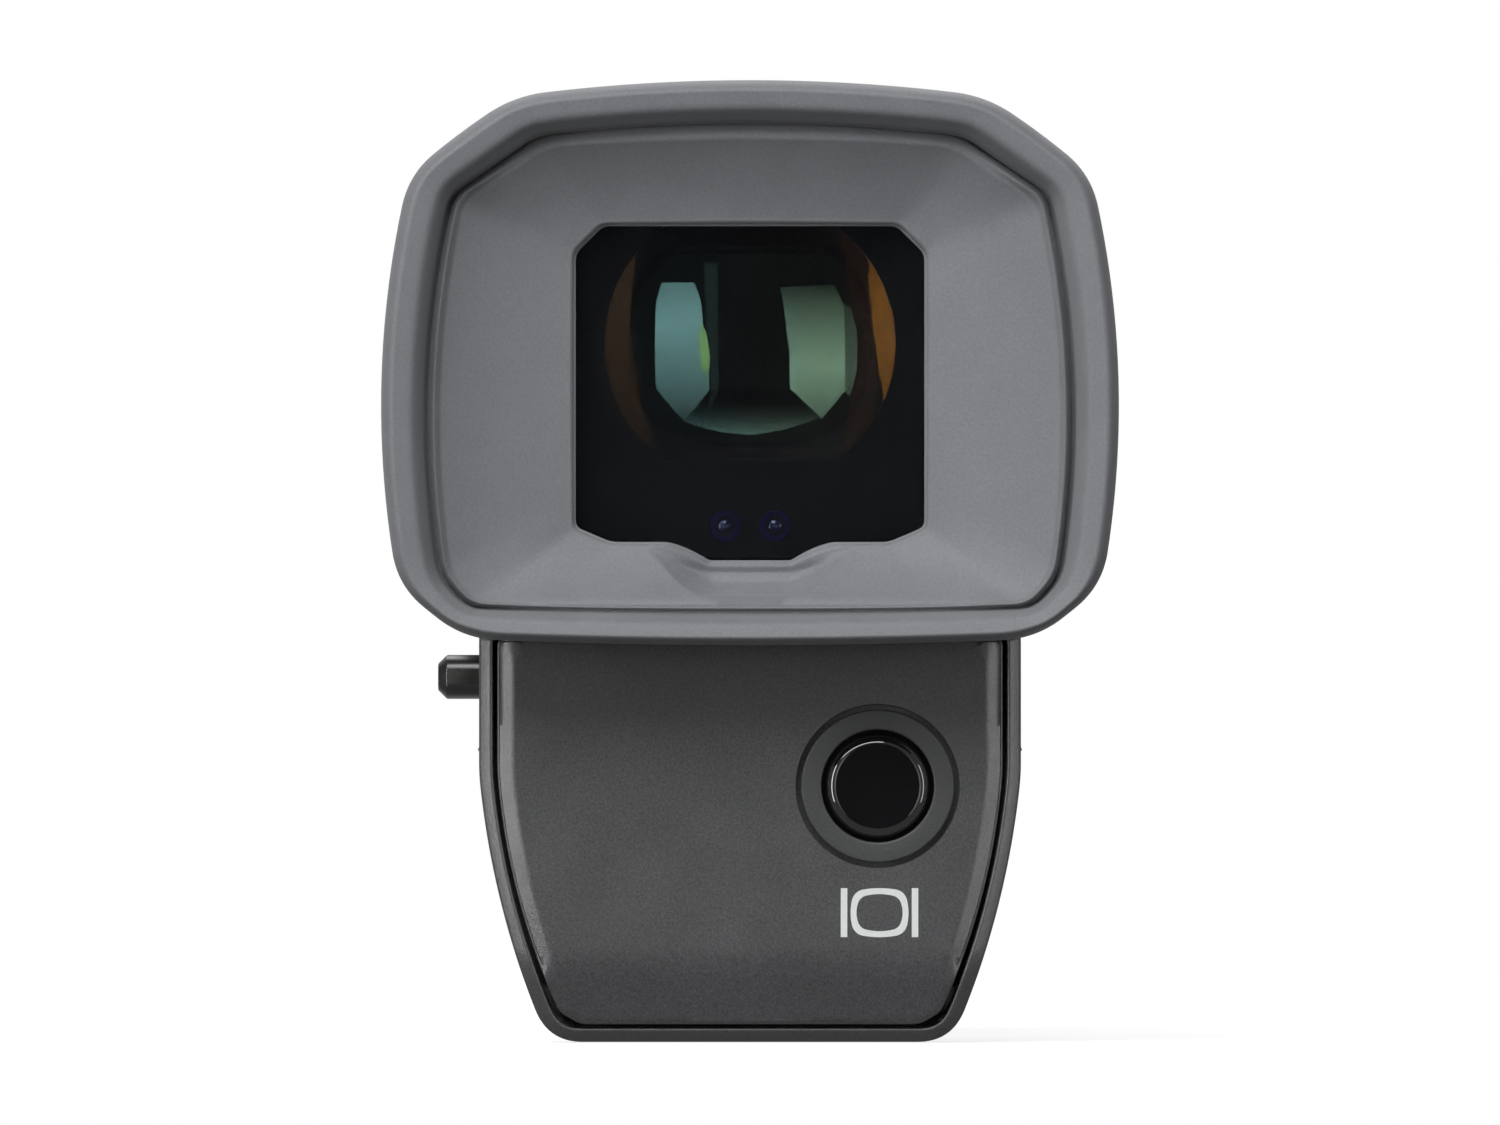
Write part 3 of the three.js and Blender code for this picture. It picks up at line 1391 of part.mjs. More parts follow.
function diopterPinion() {
  const gear = alongX(gearOutline(), gearX, gearX + gearWidth);
  const shaftEnd = headHalfWidth - dialSunk + dialThickness / 2;
  const shaft = rod('x', dialShaftRadius, gearX - fit - headWall, shaftEnd, medium);
  return join(gear, shaft);
}

function diopterDial() {
  const from = headHalfWidth - dialSunk + dialWasherThickness;
  const to = from + dialThickness;
  const edge = dialThickness / 5;
  const ring = (inset, x) => Array.from({ length: dialRibs * 2 }, (_, i) => {
    const radius = dialRadius - inset - (i % 2) * dialRibDepth;
    const angle = i / dialRibs * Math.PI;
    return new THREE.Vector3(x, radius * Math.cos(angle), radius * Math.sin(angle));
  });
  const disc = skin([ring(edge, from), ring(0, from + edge), ring(0, to - edge), ring(edge, to)], false);
  const socketEnd = headHalfWidth - dialSunk + dialThickness / 2 + fit;
  const socket = rod('x', dialShaftRadius + fit, from - overrun, socketEnd, medium);
  return cut(disc, socket);
}

function dialWasher() {
  const from = headHalfWidth - dialSunk - fit + seam / 4;
  return tube('x', dialRadius / 2, dialShaftRadius + fit, from, from + dialWasherThickness, medium);
}

// Display, behind the lens group

const displayY = chassisFrontY + fit;

function displayFrame() {
  const halfWidth = displayHalfWidth + displayFrameWall;
  const halfHeight = displayHalfHeight + displayFrameWall;
  const lookX = displayHalfWidth * displayActiveShare;
  const lookZ = displayHalfHeight * displayActiveShare;
  const pocketY = displayFrameThickness - panelGlass - fit;
  const endY = displayFrameThickness + overrun;
  const outside = chamferedRectangle(-halfWidth, -halfHeight, halfWidth, halfHeight, displayFrameWall / 2);
  const panel = rectangle(-displayHalfWidth, -displayHalfHeight, displayHalfWidth, displayHalfHeight);
  return cut(
    alongY(outside, 0, displayFrameThickness),
    alongY(rectangle(-lookX, -lookZ, lookX, lookZ), -overrun, endY),
    alongY(insetCorners(panel, -seam), pocketY, endY),
  );
}

// Assembly

const viewfinder = new THREE.Group();
viewfinder.name = 'electronic_viewfinder';

const base = new THREE.Group();
viewfinder.add(base);

addPart(base, 'shoe_foot', 'metal', shoeFoot());
shoeScrewPlaces().forEach(([x, y], i) => {
  addPart(base, `shoe_screw_${i + 1}`, 'darkMetal', screw(shoeScrewLength), x, y, seam / 2);
});
addPart(base, 'base_housing', 'body', baseHousing());
addPart(base, 'deck_cover', 'body', deckCover());
addPart(base, 'rear_plate', 'body', rearPlate());
for (const [name, side] of [['curtain_screw_left', -1], ['curtain_screw_right', 1]]) {
  const fastener = addPart(
    base, name, 'darkMetal', screw(curtainScrewLength),
    side * curtainScrewX, curtainFrontY - seam, curtainScrewZ,
  );
  fastener.rotation.x = Math.PI / 2;
}

const button = new THREE.Group();
button.position.set(buttonX, plateY, buttonZ);
base.add(button);
const switchY = plateThickness + 2 * fit + buttonFlangeThickness + buttonTravel;
addPart(button, 'button_ring', 'body', buttonRing());
addPart(button, 'display_button', 'gloss', displayButton());
const plunger = rod('y', plungerRadius, -buttonTravel, fit, medium);
addPart(button, 'switch_plunger', 'light', plunger, 0, switchY, 0);
const switchCase = cut(
  block(-switchSize / 2, 0, -switchSize / 2, switchSize / 2, switchHeight, switchSize / 2),
  rod('y', plungerRadius + fit / 2, -overrun, buttonTravel + 2 * fit - seam, medium),
);
addPart(button, 'button_switch', 'darkMetal', switchCase, 0, switchY, 0);
const boardY = plateY + switchY + switchHeight + seam;
const baseBoard = alongY(
  rectangle(-baseBoardHalfWidth, plugZ - plugHeight / 2 - plugFlange, baseBoardHalfWidth, baseBoardTop),
  boardY, boardY + boardThickness,
);
addPart(base, 'base_board', 'board', baseBoard);

const plug = new THREE.Group();
plug.position.set(0, curtainFrontY, plugZ);
base.add(plug);
addPart(plug, 'connector_housing', 'inner', plugBody());
addPart(plug, 'connector_shell', 'metal', plugShell());
addPart(plug, 'connector_contacts', 'brass', plugContacts(), 0, 0, tongueThickness / 2 + seam / 4);

addPart(base, 'lock_lever', 'darkMetal', lockLever());
addPart(base, 'lock_pin', 'metal', lockPin(), 0, lockPinY, 0);
addPart(base, 'lock_spring', 'metal', lockSpring(), 0, lockPinY, 0);

const bracket = new THREE.Group();
bracket.position.set(0, hingeY, hingeZ);
base.add(bracket);
addPart(bracket, 'hinge_bracket', 'darkMetal', hingeBracket());
addPart(bracket, 'hinge_flex', 'brass', hingeFlex());
const washerX = (knuckleHalfWidth + earInnerX) / 2;
addPart(bracket, 'friction_washer_left', 'brass', frictionWasher(), -washerX);
addPart(bracket, 'friction_washer_right', 'brass', frictionWasher(), washerX);

const head = new THREE.Group();
head.position.set(0, 0, axisZ);
viewfinder.add(head);

addPart(head, 'head_bottom_shell', 'body', headBottomShell());
addPart(head, 'head_top_shell', 'body', headTopShell());
addPart(head, 'front_cover', 'body', frontCover());
headScrewPlaces().forEach(([x, y], i) => {
  const fastener = screw(headScrewLength);
  addPart(head, `head_screw_${i + 1}`, 'darkMetal', fastener, x, y, headBottom + seam / 2);
});
for (const [name, side] of [['left', -1], ['right', 1]]) {
  const pinX = earOuterX - capThickness - 2 * seam;
  const pin = addPart(head, `hinge_pin_${name}`, 'metal', hingePin(), side * pinX, hingeY, hingeLocalZ);
  const capX = side * earOuterX;
  const cap = addPart(head, `hinge_cap_${name}`, 'body', hingeCap(), capX, hingeY, hingeLocalZ);
  pin.rotation.z = side < 0 ? Math.PI : 0;
  cap.rotation.z = side < 0 ? Math.PI : 0;
}

addPart(head, 'eyepiece_frame', 'inner', eyepieceFrame());
addPart(head, 'eyecup', 'rubber', eyecup());
addPart(head, 'window_panel', 'window', windowPanel());
addPart(head, 'window_mask', 'inner', windowMask());
addPart(head, 'eye_sensor_emitter', 'gloss', eyeSensor(), -sensorX, maskFaceY + seam, sensorZ);
addPart(head, 'eye_sensor_receiver', 'gloss', eyeSensor(), sensorX, maskFaceY + seam, sensorZ);
addPart(head, 'sensor_board', 'board', block(
  -sensorBoardHalfWidth, sensorBoardY, sensorZ - sensorBoardHalfHeight,
  sensorBoardHalfWidth, sensorBoardY + boardThickness, sensorZ + sensorBoardHalfHeight,
));

addPart(head, 'optics_chassis', 'inner', opticsChassis());
addPart(head, 'lens_barrel', 'inner', lensBarrel());
const lensRadius = barrelRadius - barrelWall - lensEdgeGap;
const eyeLensBow = (eyeLensCentre - eyeLensEdge) / 2;
const middleLensBow = (middleLensCentre - middleLensEdge) / 2;
const innerLensBow = (innerLensCentre - innerLensEdge) / 2;
const stackStart = barrelRearY + retainerLength + eyeLensBow;
const retainerY = stackStart - retainerLength - 2 * fit;
const middleY = stackStart + eyeLensEdge + eyeLensBow + middleLensBow + seam;
const spacerY = middleY + middleLensEdge + seam;
const innerY = spacerY + spacerLength + seam;
addPart(head, 'lens_retainer', 'inner', lensRetainer(), 0, retainerY, 0);
const eyeLens = lens(lensRadius, lensFlat, eyeLensEdge, eyeLensBow, eyeLensBow);
addPart(head, 'eye_lens', 'glass', eyeLens, 0, stackStart, 0);
const middleLens = lens(lensRadius, lensFlat, middleLensEdge, middleLensBow, 0);
addPart(head, 'middle_lens', 'glass', middleLens, 0, middleY, 0);
addPart(head, 'lens_spacer', 'inner', lensSpacer(spacerLength), 0, spacerY, 0);
const innerLens = lens(lensRadius, lensFlat, innerLensEdge, innerLensBow, innerLensBow);
addPart(head, 'inner_lens', 'glass', innerLens, 0, innerY, 0);

addPart(head, 'diopter_pinion', 'metal', diopterPinion(), 0, dialY, 0);
addPart(head, 'diopter_dial', 'inner', diopterDial(), 0, dialY, 0);
addPart(head, 'dial_washer', 'metal', dialWasher(), 0, dialY, 0);

addPart(head, 'display_frame', 'inner', displayFrame(), 0, displayY, 0);
const panelY = displayY + displayFrameThickness - panelGlass;
addPart(head, 'display_panel', 'glass', block(
  -displayHalfWidth, panelY, -displayHalfHeight, displayHalfWidth, panelY + panelGlass, displayHalfHeight,
));
const backlightY = displayY + displayFrameThickness + seam;
addPart(head, 'backlight', 'light', block(
  -displayHalfWidth, backlightY, -displayHalfHeight,
  displayHalfWidth, backlightY + backlightThickness, displayHalfHeight,
));
const displayBoardY = backlightY + backlightThickness + seam;
addPart(head, 'display_board', 'board', block(
  -displayBoardHalfWidth, displayBoardY, -displayBoardHeight / 2,
  displayBoardHalfWidth, displayBoardY + boardThickness, displayBoardHeight / 2,
));

export default viewfinder;
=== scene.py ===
# Looks for a clip-on electronic viewfinder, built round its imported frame.
# Sizes in the dictionaries are millimetres; each mesh is scaled to metres when it is made.
import json
import math
import bmesh
import bpy
from bisect import bisect_right
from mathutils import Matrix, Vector


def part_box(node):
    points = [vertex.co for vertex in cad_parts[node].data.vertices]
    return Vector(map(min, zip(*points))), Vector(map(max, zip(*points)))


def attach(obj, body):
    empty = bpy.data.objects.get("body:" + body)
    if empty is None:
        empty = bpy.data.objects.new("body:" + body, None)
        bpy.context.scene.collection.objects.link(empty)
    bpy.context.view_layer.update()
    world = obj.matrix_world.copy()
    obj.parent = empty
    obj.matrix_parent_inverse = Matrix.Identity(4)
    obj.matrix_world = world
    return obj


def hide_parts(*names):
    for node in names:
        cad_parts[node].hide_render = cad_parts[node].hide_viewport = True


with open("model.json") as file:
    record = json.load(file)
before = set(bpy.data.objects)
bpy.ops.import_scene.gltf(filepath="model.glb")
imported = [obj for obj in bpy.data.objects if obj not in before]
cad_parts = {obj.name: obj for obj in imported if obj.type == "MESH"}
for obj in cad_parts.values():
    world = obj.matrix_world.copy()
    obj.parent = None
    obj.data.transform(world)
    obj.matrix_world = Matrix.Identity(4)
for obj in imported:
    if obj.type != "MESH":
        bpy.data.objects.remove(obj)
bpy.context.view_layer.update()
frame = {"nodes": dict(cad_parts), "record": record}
nodes = frame["nodes"]
scene = bpy.context.scene
unit = 0.001
opticalAxis = 24.2          # height of the optical axis above the foot's underside
print("frame loaded:", len(nodes), "nodes")


# Meshes

def addObject(name, mesh):
    made = bpy.data.objects.new(name, mesh)
    scene.collection.objects.link(made)
    return made


def shadeByAngle(mesh, angle):
    mesh.shade_smooth()
    mesh.set_sharp_from_angle(angle=math.radians(angle))


def meshObject(name, points, faces, angle=35):
    mesh = bpy.data.meshes.new(name)
    mesh.from_pydata([Vector(p) * unit for p in points], [], faces)
    work = bmesh.new()
    work.from_mesh(mesh)
    bmesh.ops.remove_doubles(work, verts=work.verts, dist=1e-7)
    bmesh.ops.recalc_face_normals(work, faces=work.faces)
    work.to_mesh(mesh)
    work.free()
    shadeByAngle(mesh, angle)
    return addObject(name, mesh)


def compass(count):
    # equal steps round a circle, as pairs of across and up
    return [(math.cos(math.tau * i / count), math.sin(math.tau * i / count)) for i in range(count)]


def loft(rings, closed=False):
    count = len(rings[0])
    points = [p for ring in rings for p in ring]
    faces = []
    for r in range(len(rings) if closed else len(rings) - 1):
        here, there = r * count, (r + 1) % len(rings) * count
        for i in range(count):
            j = (i + 1) % count
            faces.append((here + i, here + j, there + j, there + i))
    if not closed:
        faces.append(tuple(range(count)))
        faces.append(tuple(range(len(points) - count, len(points))))
    return points, faces


def turned(profile, axis, centre, steps=96, closed=False):
    # a solid of revolution from (radius, place along the axis) pairs
    rings = []
    for radius, along in profile:
        ring = []
        for a, b in compass(steps):
            across, up = radius * a, radius * b
            spot = {"x": (along, across, up), "y": (across, along, up), "z": (across, up, along)}[axis]
            ring.append(Vector(centre) + Vector(spot))
        rings.append(ring)
    return loft(rings, closed)


def roundedCorners(corners, radii, steps):
    points = []
    count = len(corners)
    for i in range(count):
        here = Vector(corners[i])
        reach = radii[i]
        if not reach:
            points.append(here)
            continue
        before, after = Vector(corners[i - 1]) - here, Vector(corners[(i + 1) % count]) - here
        start = here + before.normalized() * min(reach, 0.48 * before.length)
        end = here + after.normalized() * min(reach, 0.48 * after.length)
        for k in range(steps + 1):
            t = k / steps
            points.append(start * (1 - t) ** 2 + here * 2 * t * (1 - t) + end * t * t)
    return points


def softOutline(corners, bulges=(), rounding=0.0, sideSteps=20, cornerSteps=10):
    # a closed outline whose sides bulge and whose corners are rounded, alike or one by one
    count = len(corners)
    reach = rounding if isinstance(rounding, (list, tuple)) else [rounding] * count

    def side(i):
        start, end = Vector(corners[i % count]), Vector(corners[(i + 1) % count])
        along = end - start
        outward = Vector((along.y, -along.x)).normalized()
        bulge = bulges[i % count] if bulges else 0
        first, last = (min(reach[k % count] / along.length, 0.45) for k in (i, i + 1))
        return lambda t: start + along * t + outward * (4 * bulge * t * (1 - t)), first, last

    points = []
    for i in range(count):
        at, first, last = side(i)
        nextAt, nextFirst, _ = side(i + 1)
        points += [at(first + (1 - first - last) * k / sideSteps) for k in range(sideSteps)]
        a, b, c = at(1 - last), at(1), nextAt(nextFirst)
        points += [a * (1 - t) ** 2 + b * 2 * t * (1 - t) + c * t * t
                   for t in (k / cornerSteps for k in range(cornerSteps))]
    return points


def interpolate(table, at):
    # the value at a place in a table of (place, value) pairs
    for (x0, y0), (x1, y1) in zip(table, table[1:]):
        if at <= x1:
            return y0 + (y1 - y0) * (at - x0) / (x1 - x0)
    return table[-1][1]


def mirrored(rightSide):
    return list(rightSide) + [(-x, z) for x, z in reversed(rightSide)]


def insetCorners(corners, distance):
    # moves each side of an anticlockwise outline inwards
    points = [Vector(c) for c in corners]
    moved = []
    for i, point in enumerate(points):
        one = (point - points[i - 1]).normalized()
        two = (points[(i + 1) % len(points)] - point).normalized()
        inward = Vector((-one.y - two.y, one.x + two.x)) * (distance / (1 + one.dot(two)))
        moved.append(point + inward)
    return moved


def polarRadii(outline, around, centre=(0, 0)):
    # how far the outline is from the centre at equal steps of angle
    middle = Vector(centre)
    spots = sorted((math.atan2(*reversed(Vector(p) - middle)) % math.tau, *(Vector(p) - middle))
                   for p in outline)
    angles = [s[0] for s in spots]
    radii = []
    for i in range(around):
        angle = math.tau * i / around
        k = bisect_right(angles, angle)
        p, q = Vector(spots[k - 1][1:]), Vector(spots[k % len(spots)][1:])
        ray = Vector((math.cos(angle), math.sin(angle)))
        step = q - p
        slant = ray.x * step.y - ray.y * step.x
        t = -(ray.x * p.y - ray.y * p.x) / slant if abs(slant) > 1e-9 else 0
        radii.append((p + step * t).dot(ray))
    return radii


def carve(target, cutter, operation="DIFFERENCE"):
    step = target.modifiers.new("carve", "BOOLEAN")
    step.operation = operation
    step.object = cutter
    step.solver = "EXACT"
    graph = bpy.context.evaluated_depsgraph_get()
    mesh = bpy.data.meshes.new_from_object(target.evaluated_get(graph), depsgraph=graph)
    target.modifiers.clear()
    target.data = mesh
    bpy.data.objects.remove(cutter)


def softenEdges(piece, width, segments=2, angle=35):
    bevel = piece.modifiers.new("soft edges", "BEVEL")
    bevel.width = width * unit
    bevel.segments = segments
    bevel.limit_method = "ANGLE"
    bevel.angle_limit = math.radians(angle)
    bevel.use_clamp_overlap = False
    bevel.harden_normals = False


def wear(piece, material, body, *replaced, slot=None):
    piece.data.materials.clear()
    piece.data.materials.append(material)
    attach(piece, body)
    if replaced:
        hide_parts(*replaced)
    return piece


# Materials

def linkedNode(tree, kind, settings=None, **inputs):
    node = tree.nodes.new(kind)
    for key, value in (settings or {}).items():
        setattr(node, key, value)
    for key, value in inputs.items():
        socket = node.inputs[int(key[2:]) if key.startswith("at") else key.replace("_", " ")]
        if isinstance(value, bpy.types.NodeSocket):
            tree.links.new(value, socket)
        else:
            socket.default_value = value
    return node


def combined(tree, one, other, operation="MULTIPLY"):
    return linkedNode(tree, "ShaderNodeMath", {"operation": operation}, at0=one, at1=other).outputs[0]


def ranged(tree, value, fromLow, fromHigh, toLow=0.0, toHigh=1.0):
    return linkedNode(tree, "ShaderNodeMapRange", Value=value, From_Min=fromLow, From_Max=fromHigh,
                      To_Min=toLow, To_Max=toHigh).outputs[0]


def mixed(tree, share, one, other):
    return linkedNode(tree, "ShaderNodeMixShader", at0=share, at1=one.outputs[0], at2=other.outputs[0])


def emptyTree(owner):
    owner.use_nodes = True
    owner.node_tree.nodes.clear()
    return owner.node_tree


def principled(name, **values):
    material = bpy.data.materials.new(name)
    material.use_nodes = True
    surface = material.node_tree.nodes["Principled BSDF"]
    for key, value in values.items():
        surface.inputs[key.replace("_", " ")].default_value = value
    return material, material.node_tree, surface


noiseSpan = (0.3, 0.7)      # nearly all values of a noise lie between these
glossChange = 0.08          # share by which a surface's roughness goes up and down


def finish(name, colour, rough, metal=0.0, grain=(0.12, 0.0, 0.0), mottle=(2.0, 0.0), stretch=(1, 1, 1),
           **shader):
    # grain: size in mm, bump depth in mm, share of colour change; mottle: size in mm, share of colour change
    material, tree, surface = principled(name, Base_Color=(*colour, 1), Roughness=rough, Metallic=metal,
                                         **shader)
    place = linkedNode(tree, "ShaderNodeTexCoord").outputs["Object"]
    spread = linkedNode(tree, "ShaderNodeMapping", Vector=place, Scale=stretch).outputs["Vector"]

    def noise(size, detail, roughness):
        return linkedNode(tree, "ShaderNodeTexNoise", Vector=spread, Scale=1 / (size * unit), Detail=detail,
                          Roughness=roughness).outputs["Fac"]

    fine, wide = noise(grain[0], 3.0, 0.6), noise(mottle[0], 4.0, 0.55)
    tone = combined(tree, ranged(tree, fine, *noiseSpan, 1 - grain[2], 1 + grain[2]),
                    ranged(tree, wide, *noiseSpan, 1 - mottle[1], 1 + mottle[1]))
    base = linkedNode(tree, "ShaderNodeVectorMath", {"operation": "SCALE"}, at0=colour, Scale=tone)
    tree.links.new(base.outputs[0], surface.inputs["Base Color"])
    gloss = ranged(tree, wide, *noiseSpan, rough * (1 - glossChange), min(1, rough * (1 + glossChange)))
    tree.links.new(gloss, surface.inputs["Roughness"])
    if grain[1]:
        bump = linkedNode(tree, "ShaderNodeBump", Height=fine, Distance=grain[1] * unit,
                          Strength=1.0)
        tree.links.new(bump.outputs[0], surface.inputs["Normal"])
    return material


rubber = finish("eyecup rubber", (0.158, 0.163, 0.175), 0.62,
                grain=(0.15, 0.018, 0.09), mottle=(2.5, 0.05), Sheen_Weight=0.15, Sheen_Roughness=0.5)
bodyPlastic = finish("moulded body plastic", (0.060, 0.061, 0.061), 0.36,
                     grain=(0.13, 0.010, 0.30), mottle=(3.0, 0.05), Specular_IOR_Level=0.75)
platePlastic = finish("moulded plate plastic", (0.047, 0.048, 0.051), 0.36,
                      grain=(0.12, 0.010, 0.50), mottle=(3.0, 0.05), Specular_IOR_Level=0.75)
ringPlastic = finish("button ring plastic", (0.044, 0.046, 0.046), 0.45,
                     grain=(0.12, 0.02, 0.15), mottle=(3.0, 0.04))
buttonGloss = finish("gloss black button", (0.0065, 0.0065, 0.0075), 0.05,
                     grain=(0.5, 0.0, 0.05), mottle=(2.0, 0.1), Coat_Weight=0.6, Coat_Roughness=0.03)
innerPlastic = finish("matt black inner plastic", (0.006, 0.006, 0.0065), 0.6,
                      grain=(0.1, 0.01, 0.1), mottle=(2.0, 0.1))
opticsBlack = finish("optics black", (0.0085, 0.0085, 0.009), 0.6,
                     grain=(0.1, 0.01, 0.1), mottle=(2.0, 0.1))
maskPaint = finish("window mask paint", (0.0080, 0.0082, 0.0088), 0.6,
                   grain=(0.1, 0.003, 0.05), mottle=(3.0, 0.08), Specular_IOR_Level=0.04)
innerGlass = finish("inner lens glass", (0.030, 0.030, 0.031), 0.5,
                    grain=(0.3, 0.0, 0.04), mottle=(2.0, 0.08), Specular_IOR_Level=0.04)
sensorDome = finish("sensor dome", (0.003, 0.003, 0.008), 0.14,
                    grain=(0.3, 0.0, 0.05), mottle=(0.8, 0.2), Specular_Tint=(0.45, 0.55, 1.0, 1.0))
dialPlastic = finish("ribbed dial plastic", (0.022, 0.022, 0.023), 0.42,
                     grain=(0.1, 0.01, 0.1), mottle=(1.5, 0.06))
sensorGlass = finish("sensor window", (0.010, 0.010, 0.034), 0.16,
                     grain=(0.4, 0.0, 0.05), mottle=(0.8, 0.2), Specular_IOR_Level=0.12,
                     Specular_Tint=(0.35, 0.42, 1.0, 1.0))
footSteel = finish("brushed shoe steel", (0.56, 0.56, 0.55), 0.3, 1.0,
                   grain=(0.08, 0.002, 0.06), mottle=(2.0, 0.04), stretch=(1, 0.04, 1))
screwSteel = finish("black screw steel", (0.08, 0.08, 0.085), 0.35, 0.9,
                    grain=(0.06, 0.002, 0.1), mottle=(0.8, 0.1))
leverMetal = finish("dark lever metal", (0.055, 0.055, 0.055), 0.30, 0.9,
                    grain=(0.07, 0.002, 0.12), mottle=(1.2, 0.14))
bracketMetal = finish("phosphated bracket steel", (0.11, 0.11, 0.115), 0.4, 0.9,
                      grain=(0.08, 0.003, 0.1), mottle=(1.5, 0.1))
brass = finish("contact brass", (0.70, 0.50, 0.22), 0.25, 1.0,
               grain=(0.06, 0.001, 0.06), mottle=(1.0, 0.06))
film = finish("flex film", (0.36, 0.15, 0.035), 0.3, grain=(0.2, 0.002, 0.08), mottle=(1.5, 0.1))
board = finish("circuit board", (0.012, 0.07, 0.028), 0.35, grain=(0.15, 0.004, 0.12), mottle=(1.2, 0.15))
lightPlastic = finish("light moulding", (0.55, 0.55, 0.53), 0.4,
                      grain=(0.1, 0.003, 0.03), mottle=(1.5, 0.04))
displayGlass = finish("display glass", (0.006, 0.007, 0.009), 0.06,
                      grain=(0.3, 0.0, 0.05), mottle=(1.5, 0.1))
printInk = finish("light print", (0.70, 0.71, 0.71), 0.5, grain=(0.08, 0.002, 0.06), mottle=(0.6, 0.04))


def coatedGlass(name, tint, paintedRightTint=None, index=1.5, width=10.0, level=0.5, body=(0.9, 0.93, 0.92)):
    # clear glass whose coating tints what it reflects; a second tint, painted in from left to right, may
    # change the colour and strength of the reflections across the lens
    material, tree, surface = principled(
        name, Base_Color=(*body, 1), Roughness=0.0, Transmission_Weight=1.0, IOR=index,
        Specular_IOR_Level=level, Specular_Tint=(*tint, 1))
    if paintedRightTint:
        place = linkedNode(tree, "ShaderNodeTexCoord").outputs["Object"]
        across = linkedNode(tree, "ShaderNodeSeparateXYZ", Vector=place).outputs["X"]
        share = ranged(tree, across, -width * unit / 2, width * unit / 2)
        tone = linkedNode(tree, "ShaderNodeMix", {"data_type": "RGBA"}, at0=share, at6=(*tint, 1),
                          at7=(*paintedRightTint, 1))
        tree.links.new(tone.outputs[2], surface.inputs["Specular Tint"])
    return material


windowGlass = coatedGlass("window panel glass", (0.6, 0.7, 0.9), index=1.45, level=0.12,
                          body=(0.90, 0.91, 0.92))
# the change from the left tint to the right one is painted reflection colour: it makes the eye lens mirror
# the panes teal on the left and green on the right, and the middle lens mirror them dim brown on the left
# and orange on the right
eyeLensGlass = coatedGlass("eye lens coating with painted reflection tint", (0.47, 0.98, 0.96), (0.60, 1.0, 0.68), width=6.0, level=0.5)
middleLensGlass = coatedGlass("middle lens coating with painted reflection tint", (0.15, 0.085, 0.04), (0.60, 0.235, 0.085), width=8.0,
                              level=0.5)
lensBackGlass = coatedGlass("lens rear coating", (0.0, 0.0, 0.0), level=0.5)
print("materials made")


# Camera, lights and floor

studio = {
    "cameraPlace": (0, -2200, 13.17), "frameWidth": 75.39, "framePlaneY": -22.0, "aim": (0, -18, 14),
    "floorZ": -11.05, "floorRadius": 320, "floorBounce": 0.05, "floorShade": 0.42, "floorGlow": 0.80,
    "worldFill": 0.05,
    # how bright the room is by how far a ray looks back to the camera: from, to, level there
    "roomByLenses": (-0.80, -0.20, 0.05, 0.45), "roomByFaces": (-0.99, -0.94, 0.03, 0.36),
    "softboxes": {
        "top box": {"place": (-200, -590, 550), "width": 620, "height": 420, "radiance": 8.4},
        "left box": {"place": (-640, -500, 40), "width": 150, "height": 560, "radiance": 11.0},
        "right box": {"place": (640, -500, 40), "width": 160, "height": 560, "radiance": 5.6},
        "back box": {"place": (0, 560, 520), "width": 600, "height": 500, "radiance": 2.0},
    },
}

# glowing panes beside the camera, which the lenses mirror: corners across and up, radiance, the height
# where a pane is brightest and the share lost per mm from there
panes = {
    "left pane": {
        "corners": [(-291, 230), (-181, 225), (-157, 173), (-130, -56), (-128, -118), (-215, -225),
                    (-309, -117), (-308, 158)],
        "radiance": 7.4, "brightest": 94, "loss": 0.0028},
    "left band": {
        "corners": [(-150, 290), (-104, 290), (-98, -110), (-140, -225), (-124, -118), (-126, -56)],
        "radiance": 0.40, "brightest": 0, "loss": 0},
    "left glint": {
        "corners": [(-161, 60), (-150, 92), (-136, 60), (-127, 10), (-126, -45), (-140, -75), (-154, -40)],
        "radiance": 8.5, "brightest": 10, "loss": 0.004, "colour": (1, 1, 0.4), "behind": 2},
    "right pane": {
        "corners": [(98, 207), (277, 222), (305, 158), (312, -127), (235, -216), (125, -112), (124, -10)],
        "radiance": 7.0, "brightest": -43, "loss": 0.0036},
    "right pane edge": {
        "corners": [(305, 158), (330, 150), (352, 70), (352, -60), (330, -145), (312, -127)],
        "radiance": 2.2, "brightest": -43, "loss": 0.003},
    "low bar": {
        "corners": [(-215, -225), (-128, -118), (125, -112), (230, -212), (109, -250), (11, -266),
                    (-81, -260), (-170, -240)],
        "radiance": 2.8, "brightest": -262, "loss": 0.0068, "power": 3.5},
}
paneY = -900
paneDimmest = 0.02          # share of its radiance that a pane keeps at its far end
paneForFaces = 0.28         # share of a pane that lights the outer faces, which see it directly


def aimAt(place, target):
    return (Vector(target) - Vector(place)).to_track_quat("-Z", "Y").to_euler()


lens = bpy.data.cameras.new("camera")
lens.sensor_width = 36
lens.lens = 36 * (studio["framePlaneY"] - studio["cameraPlace"][1]) / studio["frameWidth"]
lens.clip_start, lens.clip_end = 0.01, 20
camera = addObject("camera", lens)
camera.location = Vector(studio["cameraPlace"]) * unit
camera.rotation_euler = (math.pi / 2, 0, 0)
scene.camera = camera

for name, box in studio["softboxes"].items():
    lamp = bpy.data.lights.new(name, "AREA")
    lamp.shape = "RECTANGLE"
    lamp.size, lamp.size_y = box["width"] * unit, box["height"] * unit
    lamp.energy = box["radiance"] * math.pi * lamp.size * lamp.size_y
    held = addObject(name, lamp)
    held.location = Vector(box["place"]) * unit
    held.rotation_euler = aimAt(box["place"], studio["aim"])
    held.visible_camera = False


